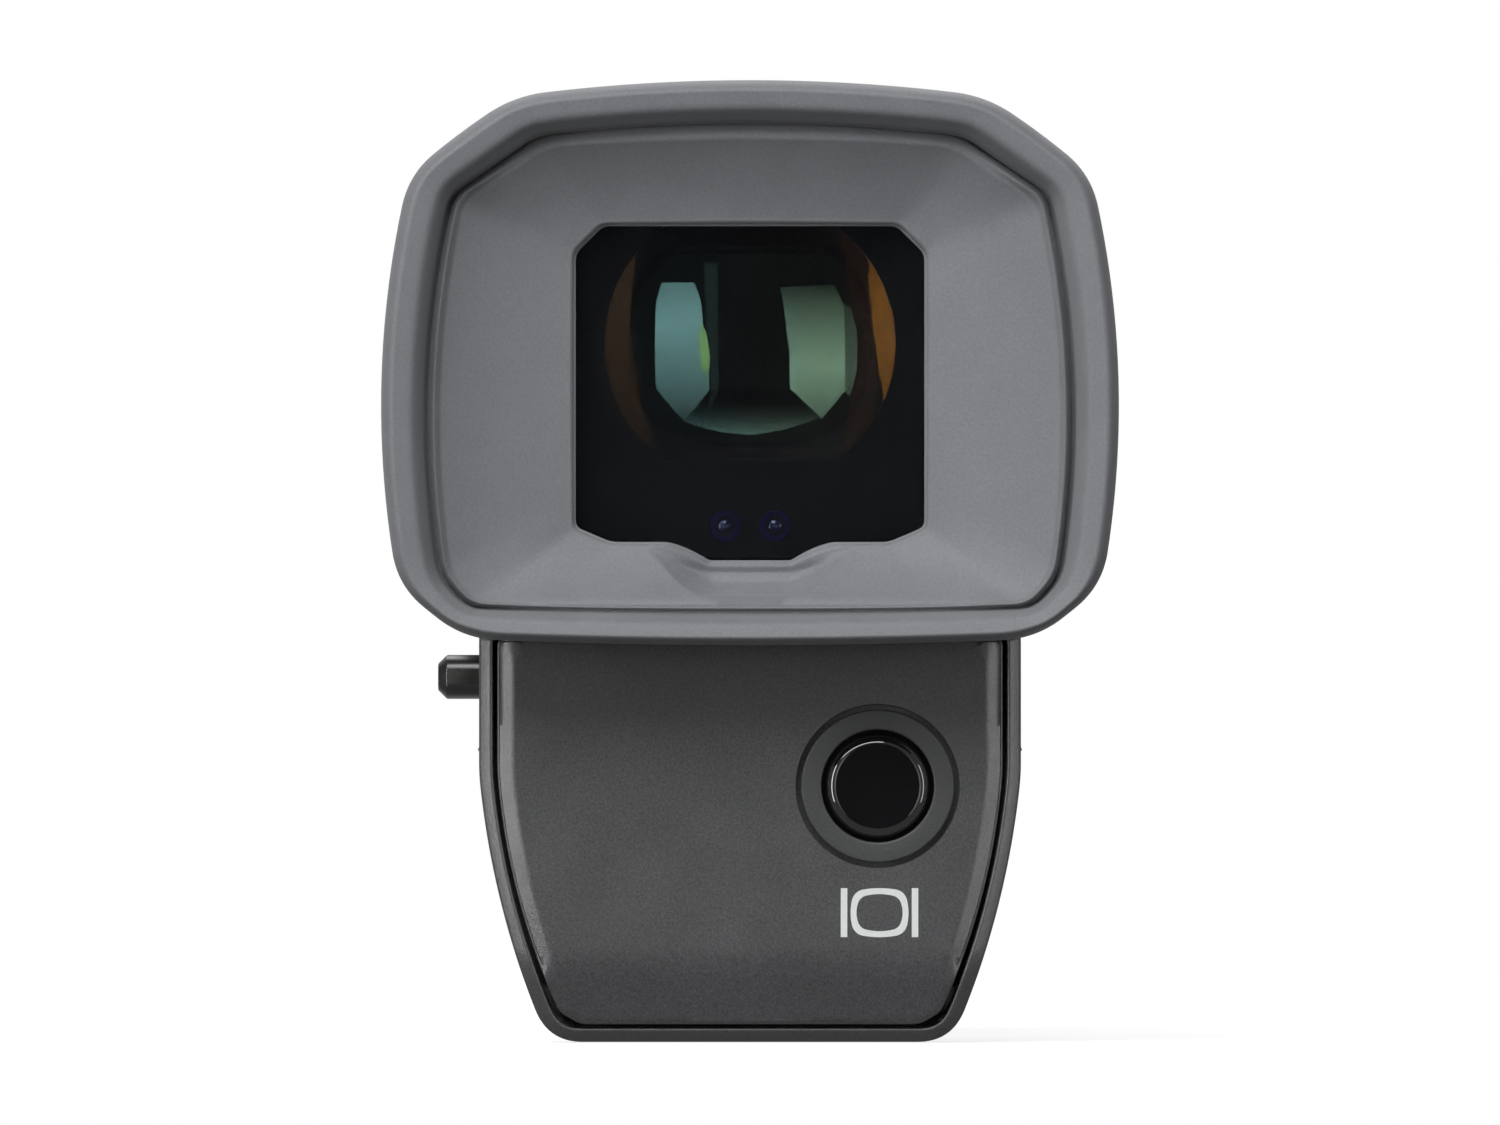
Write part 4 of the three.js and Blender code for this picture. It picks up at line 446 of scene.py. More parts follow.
def paneGlow(name, pane):
    # light that fades with height; the lenses, seen through the window, mirror all of it
    glow = bpy.data.materials.new(name)
    tree = emptyTree(glow)
    loss = pane["loss"]
    place = linkedNode(tree, "ShaderNodeTexCoord").outputs["Object"]
    up = linkedNode(tree, "ShaderNodeSeparateXYZ", Vector=place).outputs["Z"]
    away = combined(tree, up, pane["brightest"] * unit, "SUBTRACT")
    far = linkedNode(tree, "ShaderNodeMath", {"operation": "ABSOLUTE"}, at0=away).outputs[0]
    share = ranged(tree, far, 0.0, unit * (1 - paneDimmest) / max(loss, 1e-4), 1.0,
                   paneDimmest if loss else 1.0)
    level = combined(tree, combined(tree, share, pane.get("power", 1), "POWER"), pane["radiance"])
    through = linkedNode(tree, "ShaderNodeLightPath").outputs["Is Transmission Ray"]
    seen = ranged(tree, through, 0.0, 1.0, paneForFaces, 1.0)
    shine = linkedNode(tree, "ShaderNodeEmission", Color=(*pane.get("colour", (1, 1, 1)), 1),
                       Strength=combined(tree, level, seen))
    linkedNode(tree, "ShaderNodeOutputMaterial", Surface=shine.outputs[0])
    return glow


for name, pane in panes.items():
    y = paneY + pane.get("behind", 0)
    points = [(across, y, up) for across, up in pane["corners"]]
    piece = meshObject(name, points, [tuple(range(len(points)))])
    piece.data.materials.append(paneGlow(name, pane))
    piece.visible_camera = False


world = bpy.data.worlds.new("studio")
scene.world = world
sky = emptyTree(world)
path = linkedNode(sky, "ShaderNodeLightPath")
looking = linkedNode(sky, "ShaderNodeSeparateXYZ",
                     Vector=linkedNode(sky, "ShaderNodeTexCoord").outputs["Generated"])
# the lenses behind the window mirror a dark room round the camera and a paler one to the sides and behind;
# the outer faces see the dark only close to the camera
around = linkedNode(sky, "ShaderNodeMix", at0=path.outputs["Is Transmission Ray"],
                    at2=ranged(sky, looking.outputs["Y"], *studio["roomByFaces"]),
                    at3=ranged(sky, looking.outputs["Y"], *studio["roomByLenses"]))
white = linkedNode(sky, "ShaderNodeBackground", Color=(1, 1, 1, 1), Strength=1.0)
room = linkedNode(sky, "ShaderNodeBackground", Color=(1, 1, 1, 1), Strength=around.outputs[0])
fill = linkedNode(sky, "ShaderNodeBackground", Color=(0.97, 0.99, 1.0, 1), Strength=studio["worldFill"])
lit = mixed(sky, path.outputs["Is Glossy Ray"], fill, room)
seen = mixed(sky, path.outputs["Is Camera Ray"], lit, white)
linkedNode(sky, "ShaderNodeOutputWorld", Surface=seen.outputs[0])

floorMaterial = bpy.data.materials.new("pale floor")
ground = emptyTree(floorMaterial)
path = linkedNode(ground, "ShaderNodeLightPath")
matt = linkedNode(ground, "ShaderNodeBsdfDiffuse", Color=(*[studio["floorBounce"]] * 3, 1))
shaded = linkedNode(ground, "ShaderNodeBsdfDiffuse", Color=(*[studio["floorShade"]] * 3, 1))
lift = linkedNode(ground, "ShaderNodeEmission", Color=(1, 1, 1, 1), Strength=studio["floorGlow"])
white = linkedNode(ground, "ShaderNodeAddShader", at0=shaded.outputs[0], at1=lift.outputs[0])
clear = linkedNode(ground, "ShaderNodeBsdfTransparent")
unseen = mixed(ground, path.outputs["Is Glossy Ray"], matt, clear)
pick = mixed(ground, path.outputs["Is Camera Ray"], unseen, white)
linkedNode(ground, "ShaderNodeOutputMaterial", Surface=pick.outputs[0])
points = [(studio["floorRadius"] * a, studio["floorRadius"] * b, studio["floorZ"]) for a, b in compass(64)]
floor = meshObject("floor", points, [tuple(range(len(points)))])
floor.data.materials.append(floorMaterial)
print("camera, lights and floor made")


# Eyecup

eyecup = {
    "around": 600, "centre": (0, -1.5),
    "opening": [(6.97, -10.0), (8.77, -9.24), (8.77, 4.5), (7.38, 5.89)], "openingRound": 0.35,
    "rim": [(14.25, -14.86), (17.7, -12.1), (17.13, 8.43), (11.8, 12.4)],
    "rimBulges": [0.1, 1.1, 0.15, 0.8, 0.15, 1.1, 0.1, 0.32], "rimRound": 1.5,
    "crease": [(14.2, -13.32), (15.62, -11.75), (15.0, 7.5), (10.75, 10.45)],
    "creaseBulges": [0.05, 0.96, 0.0, 0.65, 0.0, 0.96, 0.05, 0.30], "creaseRound": 0.7,
    "frame": (9.02, -11.0, 6.14, 1.39), "collar": 1.5, "collarGap": 1.15, "collarRounds": (0.5, 0.9),
    "back": -18.4, "flareFrom": -19.3, "flareDepth": 2.0, "flareReach": 0.86, "rimEdge": 1.15,
    "lipBack": -20.0, "edge": -20.65, "lipRound": 0.38, "lipStep": 0.10,
    "bead": -23.3, "beadRise": 1.7, "beadFall": 1.9, "beadLean": 0.34, "beadCrest": 0.27,
    "wallStart": 3.8,       # the higher, the later and steeper the bead falls to the crease
    # the crease and the ridge inside it: distance inwards, place with the ridge and without it
    "valleyAndRidge": [
        (0.03, -22.70, -22.66), (0.07, -22.30, -22.10), (0.15, -22.30, -22.10), (0.19, -22.80, -22.66),
        (0.25, -23.08, -22.70), (0.32, -23.30, -22.74), (0.38, -23.42, -22.77), (0.44, -23.44, -22.80),
        (0.51, -23.36, -22.83), (0.59, -23.14, -22.85), (0.68, -22.96, -22.87), (0.77, -22.89, -22.88)],
    # at the foot the crease is shallower; the ridge starts at footTop and falls by footSlope over footReach
    "footLift": 0.45, "footTop": -22.72, "footSlope": 0.45, "footReach": 0.3,
    "funnelInset": 0.86, "funnelTop": -22.86, "hollow": 0.08,
    # the nose scoop: half-widths of its upper edge and of its floor, by share of the way up to the ridge
    "scoopDepth": 0.92, "scoopSoftness": 1.55,
    "scoopPush": [(-1, 0.45), (0, 0.6), (0.15, 0.92), (0.3, 1.14), (0.5, 1.40), (0.75, 1.36), (0.9, 0.95),
                  (1, 0.2)],
    "scoopFloor": [(-1, 2.05), (0, 2.05), (0.5, 1.95), (0.9, 1.5), (1, 1.0)],
    "scoopCrest": [(-1, 4.3), (0, 5.3), (0.2, 4.7), (0.43, 4.15), (0.64, 3.73), (0.78, 3.3), (0.92, 2.74),
                   (1, 2.05)],
}


def smoothShare(value):
    value = min(1, max(0, value))
    return value * value * (3 - 2 * value)


def footShare(up):
    # 1 along the cup's foot, 0 along its sides and top
    return smoothShare((-up - 0.5) / 0.3)


def makeEyecup(e):
    count, centre = e["around"], e["centre"]
    steps = compass(count)

    def radial(corners, rounding, bulges=(), cornerSteps=10):
        return polarRadii(softOutline(corners, bulges, rounding, cornerSteps=cornerSteps), count, centre)

    opening = radial(mirrored(e["opening"]), e["openingRound"], cornerSteps=6)
    rim = radial(mirrored(e["rim"]), e["rimRound"], e["rimBulges"])
    crease = radial(mirrored(e["crease"]), e["creaseRound"], e["creaseBulges"])
    half, low, high, cut = e["frame"]
    inner = mirrored([(half, low), (half, high - cut), (half - cut, high)])
    collarIn = radial(insetCorners(inner, -e["collarGap"]), e["collarRounds"][0])
    collarOut = radial(insetCorners(inner, -e["collarGap"] - e["collar"]), e["collarRounds"][1])

    def ring(radii, y, grow=0.0, share=None):
        made = []
        for (across, up), radius in zip(steps, radii):
            x, z, back = centre[0] + (radius + grow) * across, centre[1] + (radius + grow) * up, 0.0
            if share is not None and up < 0:
                crest, floor = interpolate(e["scoopCrest"], share), interpolate(e["scoopFloor"], share)
                inside = min(1.0, max(0.0, (crest - abs(x)) / (crest - floor)))
                way = max(0.0, share)
                # the scoop's sides are soft at the lip and crisp from a quarter of the way up
                soft, crisp = inside ** e["scoopSoftness"], 1 - (1 - inside) ** 2
                z -= e["scoopDepth"] * soft * (1 - way)
                back = interpolate(e["scoopPush"], share) * (soft + (crisp - soft) * min(1, 4 * way))
            made.append((x, y + back, opticalAxis + z))
        return made

    def blend(one, other, share):
        return [a + (b - a) * share for a, b in zip(one, other)]

    lip, lipStep = e["lipRound"], e["lipStep"]
    rings = [ring(collarIn, e["lipBack"]), ring(collarIn, e["back"] - 0.15), ring(collarIn, e["back"], 0.12),
             ring(collarOut, e["back"], -0.2), ring(collarOut, e["back"] - 0.2),
             ring(collarOut, e["flareFrom"])]
    for k in range(1, 9):       # collar flares out to the rim's underside
        t = k / 9
        share = t ** 0.8 * e["flareReach"]
        rings.append(ring(blend(collarOut, rim, share), e["flareFrom"] - e["flareDepth"] * t ** 1.5))
    edge = e["rimEdge"]
    for k in range(11):         # the rim's rounded outer edge
        turn = math.radians(-80 + 80 * k / 10)
        rings.append(ring(rim, e["bead"] - edge * math.sin(turn), edge * (math.cos(turn) - 1)))
    peak = e["beadCrest"]
    for k in range(1, 15):      # the bead's outer side, up to its crest
        turn = math.pi / 2 * k / 14
        rings.append(ring(blend(rim, crease, peak * (1 - math.cos(turn))),
                          e["bead"] - e["beadRise"] * math.sin(turn)))
    for k in range(1, 23):      # its flat top and the steep wall down to the crease
        t = k / 22
        down = smoothShare(t ** e["wallStart"])
        fall = e["beadFall"] * down + e["beadLean"] * t
        made = ring(blend(rim, crease, peak + (1 - peak) * t), e["bead"] - e["beadRise"] + fall)
        lifts = [e["footLift"] * down * footShare(up) for across, up in steps]
        rings.append([(x, y - lift, z) for (x, y, z), lift in zip(made, lifts)])
    for inwards, ridged, plain in e["valleyAndRidge"]:
        made = []
        for (across, up), radius in zip(steps, crease):
            foot, side = footShare(up), 1 - smoothShare((up - 0.45) / 0.3)
            reach = radius - inwards * (1 - 0.35 * foot)
            y = plain + (ridged - plain) * side
            way = min(1, inwards / e["footReach"])
            y += (min(y, e["footTop"] - e["footSlope"] * way) - y) * foot - e["footLift"] * foot * (1 - way)
            made.append((centre[0] + reach * across, y, opticalAxis + centre[1] + reach * up))
        rings.append(made)
    top = [r - e["funnelInset"] for r in crease]
    mouth = [r + lip for r in opening]
    for k in range(45):         # the funnel's face, down to the window's edge
        t = 1 - k / 44
        rise = t - e["hollow"] * 4 * t * (1 - t)
        rings.append(ring(blend(mouth, top, t), e["edge"] + (e["funnelTop"] - e["edge"]) * rise, share=t))
    for k in range(1, 8):       # the rounded lip
        turn = math.pi / 2 * k / 7
        sink, grow = lip * (1 - math.cos(turn)), lipStep + (lip - lipStep) * (1 - math.sin(turn))
        rings.append(ring(opening, e["edge"] + sink, grow, -k / 7))
    rings.append(ring(opening, e["edge"] + lip + 0.02, 0, -1))
    rings.append(ring(opening, e["lipBack"], 0, -1))
    points, faces = loft(rings, closed=True)
    return meshObject("eyecupRubber", points, faces, 50)


wear(makeEyecup(eyecup), rubber, "head", "eyecup", slot="eyecup_rubber")
print("eyecup made")


# Rear plate, its rim, its ring and its button

plate = {
    "foot": 10.15, "half": 13.65, "drop": -11.0, "straight": 2.5, "top": 9.5, "bulge": 0.56,
    "inset": 0.9, "round": 0.35, "face": -17.5, "thick": 1.3, "edgeRound": 0.12,
    "chamferWidth": 0.88, "chamferDepth": 0.42, "chamferEnd": -8.2, "chamferFade": 1.8, "cut": (1.35, 0.95),
    "bendTop": -6.2, "bendEnd": -8.1, "bendDrop": 0.95, "foldFoot": -10.1, "trim": 9.3,
    "around": 640, "rings": 40, "centre": (0, -0.6),
    "button": (6.43, 1.91), "hole": 4.10, "bore": 3.45, "boreDepth": 0.8, "ring": 3.85, "mouth": 2.83,
}


def bendBack(z, p=plate):
    # how far the plate falls back at a height: a soft bend, then a flat slope
    slope = p["bendDrop"] / ((p["bendTop"] - p["bendEnd"]) / 2 + p["bendEnd"] - p["foldFoot"])
    if z >= p["bendTop"]:
        return 0.0
    reach = p["bendTop"] - p["bendEnd"]
    down = p["bendTop"] - z
    return slope * down * down / 2 / reach if down < reach else slope * (down - reach / 2)


def curtainOutline(inset, top, rounding, p=plate, cut=None):
    # the top corners stay nearly square, under the eyecup; cut takes the lower corners off straight
    low = [(p["foot"], p["drop"])]
    if cut:
        along = (Vector((p["half"], p["straight"])) - Vector(low[0])).normalized()
        low = [(p["foot"] - cut[0], p["drop"]), tuple(Vector(low[0]) + along * cut[1])]
    corners = mirrored([*low, (p["half"], p["straight"]), (p["half"], top)])
    lower = [rounding] * len(low)
    bulges = [0] * (len(low) - 1) + [p["bulge"], 0, 0, 0, p["bulge"]] + [0] * len(low)
    return softOutline(insetCorners(corners, inset), bulges, [*lower, 0.6, 0.3, 0.3, 0.6, *lower], 40, 14)


def makePlate(p):
    count, centre = p["around"], Vector(p["centre"])
    steps = [Vector(step) for step in compass(count)]
    sharp = sorted((q.y, q.x) for q in curtainOutline(p["inset"], p["trim"] + p["inset"], 0) if q.x > 0)
    heights = [q[0] for q in sharp]

    def halfWidth(z):
        k = min(max(bisect_right(heights, z), 1), len(sharp) - 1)
        (z0, x0), (z1, x1) = sharp[k - 1], sharp[k]
        return x0 + (x1 - x0) * (z - z0) / (z1 - z0) if abs(z1 - z0) > 1e-6 else max(x0, x1)

    def height(x, z):
        # the face falls back along its side edges, down to the bend
        fade = smoothShare((z - p["chamferEnd"]) / p["chamferFade"])
        share = (halfWidth(z) - abs(x)) / p["chamferWidth"]
        return p["face"] + p["chamferDepth"] * max(0, 1 - share) * fade + bendBack(z)

    def laid(radii):
        spots = [centre + step * r for step, r in zip(steps, radii)]
        return [(q.x, height(*q), q.y) for q in spots]

    insets = [0.0, 0.15, 0.4, 0.65, 0.85, 0.93, 1.0, 1.07, 1.15, 1.35, 1.7, 2.2]
    outlines = [polarRadii(curtainOutline(p["inset"] + d, p["trim"] + p["inset"], p["round"],
                                          cut=p["cut"]), count, centre) for d in insets]
    edge, inner = outlines[0], outlines[-1]
    rings = [laid([max(0.02, r * k / p["rings"]) for r in inner]) for k in range(p["rings"])]
    rings += [laid(radii) for radii in reversed(outlines)]
    rounding = p["edgeRound"]
    outer = rings.pop()

    def edgeRing(grow, sink):
        return [(centre.x + s.x * (r + grow), spot[1] + sink, centre.y + s.y * (r + grow))
                for s, r, spot in zip(steps, edge, outer)]

    rings.append(edgeRing(-rounding, 0))
    for k in range(1, 5):
        turn = math.pi / 2 * k / 4
        grow, sink = -rounding * (1 - math.sin(turn)), rounding * (1 - math.cos(turn))
        rings.append(edgeRing(grow, sink))
    rings.append([(pt[0], p["face"] + p["thick"] + bendBack(pt[2]), pt[2]) for pt in outer])
    points, faces = loft(rings)
    made = meshObject("rearPlateMoulding", points, faces, 50)
    x, z = p["button"]
    bore, floor = p["bore"], p["boreDepth"]
    profile = [(0, -3), (p["hole"] + 0.5, -3), (p["hole"] + 0.5, -0.5), (p["hole"] + 0.06, -0.06),
               (p["hole"], 0.08), (p["hole"], floor), (bore, floor), (bore, 4), (0, 4)]
    cutter = meshObject("cutter", *turned(profile, "y", (x, p["face"], z), 160))
    carve(made, cutter)
    shadeByAngle(made.data, 35)
    return made


wear(makePlate(plate), platePlastic, "base", "rear_plate", slot="body_plastic")

rim = {  # the profile runs from the housing round the outer slope to the groove: inset and sink
    "face": -17.3, "depth": 0.95, "corner": 1.7, "top": 9.5,
    "profile": [(0, 0.95), (0, 0.47), (0.015, 0.41), (0.05, 0.35), (0.11, 0.31), (0.48, 0.09),
                (0.54, 0.06), (0.60, 0.05), (0.65, 0.07), (0.685, 0.11), (0.70, 0.17), (0.70, 0.95)],
}


def makeRim(r):
    # the housing's rear rim, rounded outwards and sharp towards the plate
    count, centre = plate["around"], Vector(plate["centre"])

    def ring(inset, sink):
        # the top bar is thin, because the plate reaches nearly to the housing's top
        radii = polarRadii(curtainOutline(inset, r["top"] + 0.8 * inset, r["corner"] - inset), count, centre)
        spots = [centre + Vector(step) * r for step, r in zip(compass(count), radii)]
        return [(q.x, r["face"] + sink + bendBack(q.y), q.y) for q in spots]

    rings = [ring(inset, sink) for inset, sink in r["profile"]]
    return meshObject("baseRim", *loft(rings, closed=True), 50)


wear(makeRim(rim), bodyPlastic, "base", slot="body_plastic")

buttonPlace = (plate["button"][0], plate["face"], plate["button"][1])
seat, wall = plate["boreDepth"] - 0.02, plate["bore"] - 0.03
lipped = roundedCorners([(plate["mouth"], plate["thick"]), (plate["mouth"], 0.0), (plate["ring"], 0.0),
                         (plate["ring"], seat), (wall, seat), (wall, plate["thick"])],
                        [0, 0.12, 0.10, 0, 0, 0], 5)
ringPiece = meshObject("buttonRing", *turned([tuple(q) for q in lipped], "y", buttonPlace, 160, closed=True))
wear(ringPiece, ringPlastic, "base", "button_ring", slot="ring_plastic")

button = {"flat": 2.1, "radius": 2.68, "proud": 0.35, "shoulder": 0.75, "flange": 3.28,
          "flangeFrom": 1.55, "flangeTo": 1.95}


def makeButton(b):
    profile = [(0, -b["proud"]), (b["flat"] - 0.1, -b["proud"])]
    for k in range(13):         # a rounded shoulder that runs into the side
        turn = math.pi / 2 * k / 12
        profile.append((b["flat"] + (b["radius"] - b["flat"]) * math.sin(turn),
                        -b["proud"] + b["shoulder"] * (1 - math.cos(turn))))
    profile += [(b["radius"], b["flangeFrom"]), (b["flange"], b["flangeFrom"]),
                (b["flange"], b["flangeTo"]), (0, b["flangeTo"])]
    return meshObject("displayButton", *turned(profile, "y", buttonPlace, 128))


wear(makeButton(button), buttonGloss, "button", "display_button", slot="button_gloss")

pictogram = {
    "left": 4.571, "right": 8.476, "bar": 0.33, "low": -5.70, "high": -3.23, "boxLeft": 5.064,
    "boxRight": 7.984, "stroke": 0.30, "bulge": 0.16, "sideBulge": 0.208, "middle": (6.5, -4.5),
    "outerRound": 0.42, "innerRound": 0.25, "proud": 0.012, "sunk": 0.03,
}


def makePictogram(g):
    # two bars and a bulged box, printed on the plate
    front, back = plate["face"] - g["proud"], plate["face"] + g["sunk"]
    points, faces = [], []

    def add(more, moreFaces):
        base = len(points)
        points.extend(more)
        faces.extend(tuple(base + i for i in face) for face in moreFaces)

    for start, end in ((g["left"], g["left"] + g["bar"]), (g["right"] - g["bar"], g["right"])):
        outline = [(start, g["low"]), (end, g["low"]), (end, g["high"]), (start, g["high"])]
        add(*loft([[(a, y, c) for a, c in outline] for y in (front, back)]))
    corners = [(g["boxLeft"], g["low"]), (g["boxRight"], g["low"]), (g["boxRight"], g["high"]),
               (g["boxLeft"], g["high"])]
    bulges = [g["bulge"], g["sideBulge"]] * 2
    inset = [(a + math.copysign(g["sideBulge"], g["middle"][0] - a),
              c + math.copysign(g["bulge"], g["middle"][1] - c))
             for a, c in corners]
    outer = softOutline(inset, bulges, g["outerRound"], 12, 8)
    inner = softOutline(insetCorners(inset, g["stroke"]), bulges, g["innerRound"], 12, 8)
    walls = ((outer, front), (outer, back), (inner, back), (inner, front))
    add(*loft([[(q.x, y, q.y) for q in line] for line, y in walls], closed=True))
    return meshObject("displayPictogram", points, faces)


wear(makePictogram(pictogram), printInk, "base")
print("plate, ring, button and pictogram made")


# Window, mask and optics

optics = {
    "mask": [(8.85, -10.83), (8.85, 4.60), (7.48, 5.97)],
    "aperture": 7.33, "apertureFlat": 5.87, "around": 384, "edge": 7.95, "edgeFlat": 6.35,
    "maskFront": -18.30, "maskBack": -18.0,
    # the spacer's hole is a softened box: half-width, heights over and under the axis, squareness
    "spacerFront": -10.42, "spacerBack": -9.02, "spacerHole": (5.4, 5.1, 4.6), "spacerPower": 2.6,
    "spacerTaper": 0.15,
}


def flatRadii(radius, flat, count):
    # a disc with a flat at its foot
    return [min(radius, -flat / up) if up < -1e-6 else radius for across, up in compass(count)]


def polarRing(radii, y):
    return [(r * a, y, opticalAxis + r * b) for r, (a, b) in zip(radii, compass(len(radii)))]


def makeMask(o):
    outer = polarRadii(softOutline(mirrored(o["mask"]), (), 0.2), o["around"])
    hole = flatRadii(o["aperture"], o["apertureFlat"], o["around"])
    rings = [polarRing(outer, o["maskFront"]), polarRing(hole, o["maskFront"]),
             polarRing(hole, o["maskBack"]), polarRing(outer, o["maskBack"])]
    return meshObject("windowMask", *loft(rings, closed=True))


def makeLens(name, front, back, o=optics, count=192, steps=28):
    # front and back are (place on the axis, bow towards the eye or away from it)
    rings = []
    for (place, bow), sign in ((front, 1), (back, -1)):
        curve = (o["edge"] ** 2 + bow ** 2) / (2 * bow) if bow else 0
        made = []
        for k in range(steps + 1):
            radii = flatRadii(max(0.01, o["edge"] * k / steps), o["edgeFlat"], count)
            sags = [curve - math.sqrt(curve ** 2 - r * r) if bow else 0 for r in radii]
            made.append([(r * a, place + sign * s, opticalAxis + r * b)
                         for r, s, (a, b) in zip(radii, sags, compass(count))])
        rings += made if sign > 0 else list(reversed(made))
    return meshObject(name, *loft(rings), 30)


def makeSpacer(o):
    count = o["around"]
    outer = flatRadii(o["edge"], o["edgeFlat"], count)
    half, high, low = o["spacerHole"]
    power, hole = o["spacerPower"], []
    for a, b in compass(count):
        across, up = abs(a) / half, abs(b) / (high if b > 0 else low)
        hole.append((across ** power + up ** power) ** (-1 / power))
    front, back = o["spacerFront"], o["spacerBack"]
    rings = [polarRing(outer, front), polarRing(hole, front),
             polarRing([r + o["spacerTaper"] for r in hole], back), polarRing(outer, back)]
    return meshObject("lensSpacer", *loft(rings, closed=True))


wear(makeMask(optics), maskPaint, "head", "window_mask", slot="inner_plastic")
lenses = {  # node: name, place and bow of the front and of the back, coating
    "eye_lens": ("eyeLens", (-16.02, 1.1), (-12.62, 1.1), eyeLensGlass),
    "middle_lens": ("middleLens", (-12.35, 0.75), (-10.66, 0), middleLensGlass),
}
for node, (name, front, back, coating) in lenses.items():
    lensPiece = wear(makeLens(name, front, back), coating, "lens_group", node, slot="lens_glass")
    lensPiece.data.materials.append(lensBackGlass)
    lensPiece.data.materials.append(innerPlastic)
    for face in lensPiece.data.polygons:      # coated front, plain back, blackened edge
        face.material_index = 0 if face.normal.y < -0.5 else 1 if face.normal.y > 0.5 else 2
wear(makeSpacer(optics), opticsBlack, "lens_group", "lens_spacer", slot="inner_plastic")

sensor = {"place": (1.26, -9.2), "radius": 0.79, "dome": 0.42, "domeHeight": 0.25, "domeFoot": 0.27,
          "front": -18.42, "back": -16.60, "body": 1.04, "bodyFront": -18.0}
for name, side in (("emitter", -1), ("receiver", 1)):
    centre = (side * sensor["place"][0], 0, opticalAxis + sensor["place"][1])
    front, radius, foot = sensor["front"], sensor["radius"], sensor["front"] + sensor["domeFoot"]
    turns = [math.pi / 2 * k / 8 for k in range(9)]
    profile = [(sensor["dome"] * math.sin(t), foot - sensor["domeHeight"] * math.cos(t)) for t in turns]
    profile += [(sensor["dome"] + 0.03, foot), (sensor["dome"] + 0.08, front + 0.05),
                (radius - 0.05, front + 0.05), (radius, front + 0.1),
                (radius, sensor["bodyFront"] - 0.02), (sensor["body"], sensor["bodyFront"]),
                (sensor["body"], sensor["back"]), (0, sensor["back"])]
    piece = meshObject("eyeSensor." + name, *turned(profile, "y", centre, 64))
    wear(piece, sensorGlass, "head", "eye_sensor_" + name, slot="sensor_gloss")
    piece.data.materials.append(sensorDome)
    for face in piece.data.polygons:
        spot = face.center / unit - Vector(centre)
        inDome = spot.y < foot + 0.03 and math.hypot(spot.x, spot.z) < sensor["dome"] + 0.02
        face.material_index = int(inDome)
print("window and optics made")


# Carried-over pieces

def refined(node, width=0.1, angle=35, segments=2, merge=0.002, cutter=None, operation="DIFFERENCE",
            staysSharp=None):
    # a copy of a CAD node with its triangles merged into faces and its edges softened
    mesh = nodes[node].data.copy()
    mesh.name = node + "Soft"
    work = bmesh.new()
    work.from_mesh(mesh)
    bmesh.ops.remove_doubles(work, verts=work.verts, dist=merge * unit)
    bmesh.ops.dissolve_limit(work, angle_limit=math.radians(1.0), verts=work.verts, edges=work.edges)
    work.to_mesh(mesh)
    work.free()
    made = addObject(node + "Soft", mesh)
    if cutter:
        carve(made, cutter, operation)
    mesh = made.data
    shadeByAngle(mesh, angle)
    if width:
        softenEdges(made, width, segments, angle)
    if staysSharp:
        weights = mesh.attributes.new("bevel_weight_edge", "FLOAT", "EDGE")
        for edge in mesh.edges:
            kept = all(staysSharp(mesh.vertices[v].co / unit) for v in edge.vertices)
            weights.data[edge.index].value = float(edge.use_edge_sharp and not kept)
        made.modifiers[0].limit_method = "WEIGHT"
    return made


def rimPlane(z):
    return rim["face"] + rim["depth"] + bendBack(z)


def rimCutter():
    # everything behind the rim, which a piece of its own stands for
    side = [(-30, 12),
            *((rimPlane(z), z) for z in (12, *(plate["bendTop"] - 0.2 * k for k in range(30)))),
            (-30, -12.0)]
    return meshObject("cutter", *loft([[(x, y, z) for y, z in side] for x in (-20, 20)]))


tab = {"centre": 7.37, "height": 2.23, "deep": 5.0, "cone": 0.45, "roundness": 3.6, "inside": -13.3}


def tabCutter(t):
    # a rounded bar round the lever's tab, and room for the rest of the lever inside the base
    low = Vector(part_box("lock_lever")[0]) / unit
    centre = (low.y + t["deep"] / 2, t["centre"])
    power = 2 / t["roundness"]

    def ring(x, halfDeep, halfHigh):
        return [(x, centre[0] + math.copysign(abs(a) ** power, a) * halfDeep,
                 centre[1] + math.copysign(abs(b) ** power, b) * halfHigh) for a, b in compass(96)]

    deep, high = t["deep"] / 2 + 0.01, t["height"] / 2 + 0.01
    rings = [ring(low.x - 0.01, deep - t["cone"], high - t["cone"]),
             ring(low.x - 0.01 + t["cone"], deep, high),
             ring(t["inside"] - 0.01, deep, high), ring(t["inside"], 30, 30), ring(20, 30, 30)]
    return meshObject("cutter", *loft(rings))


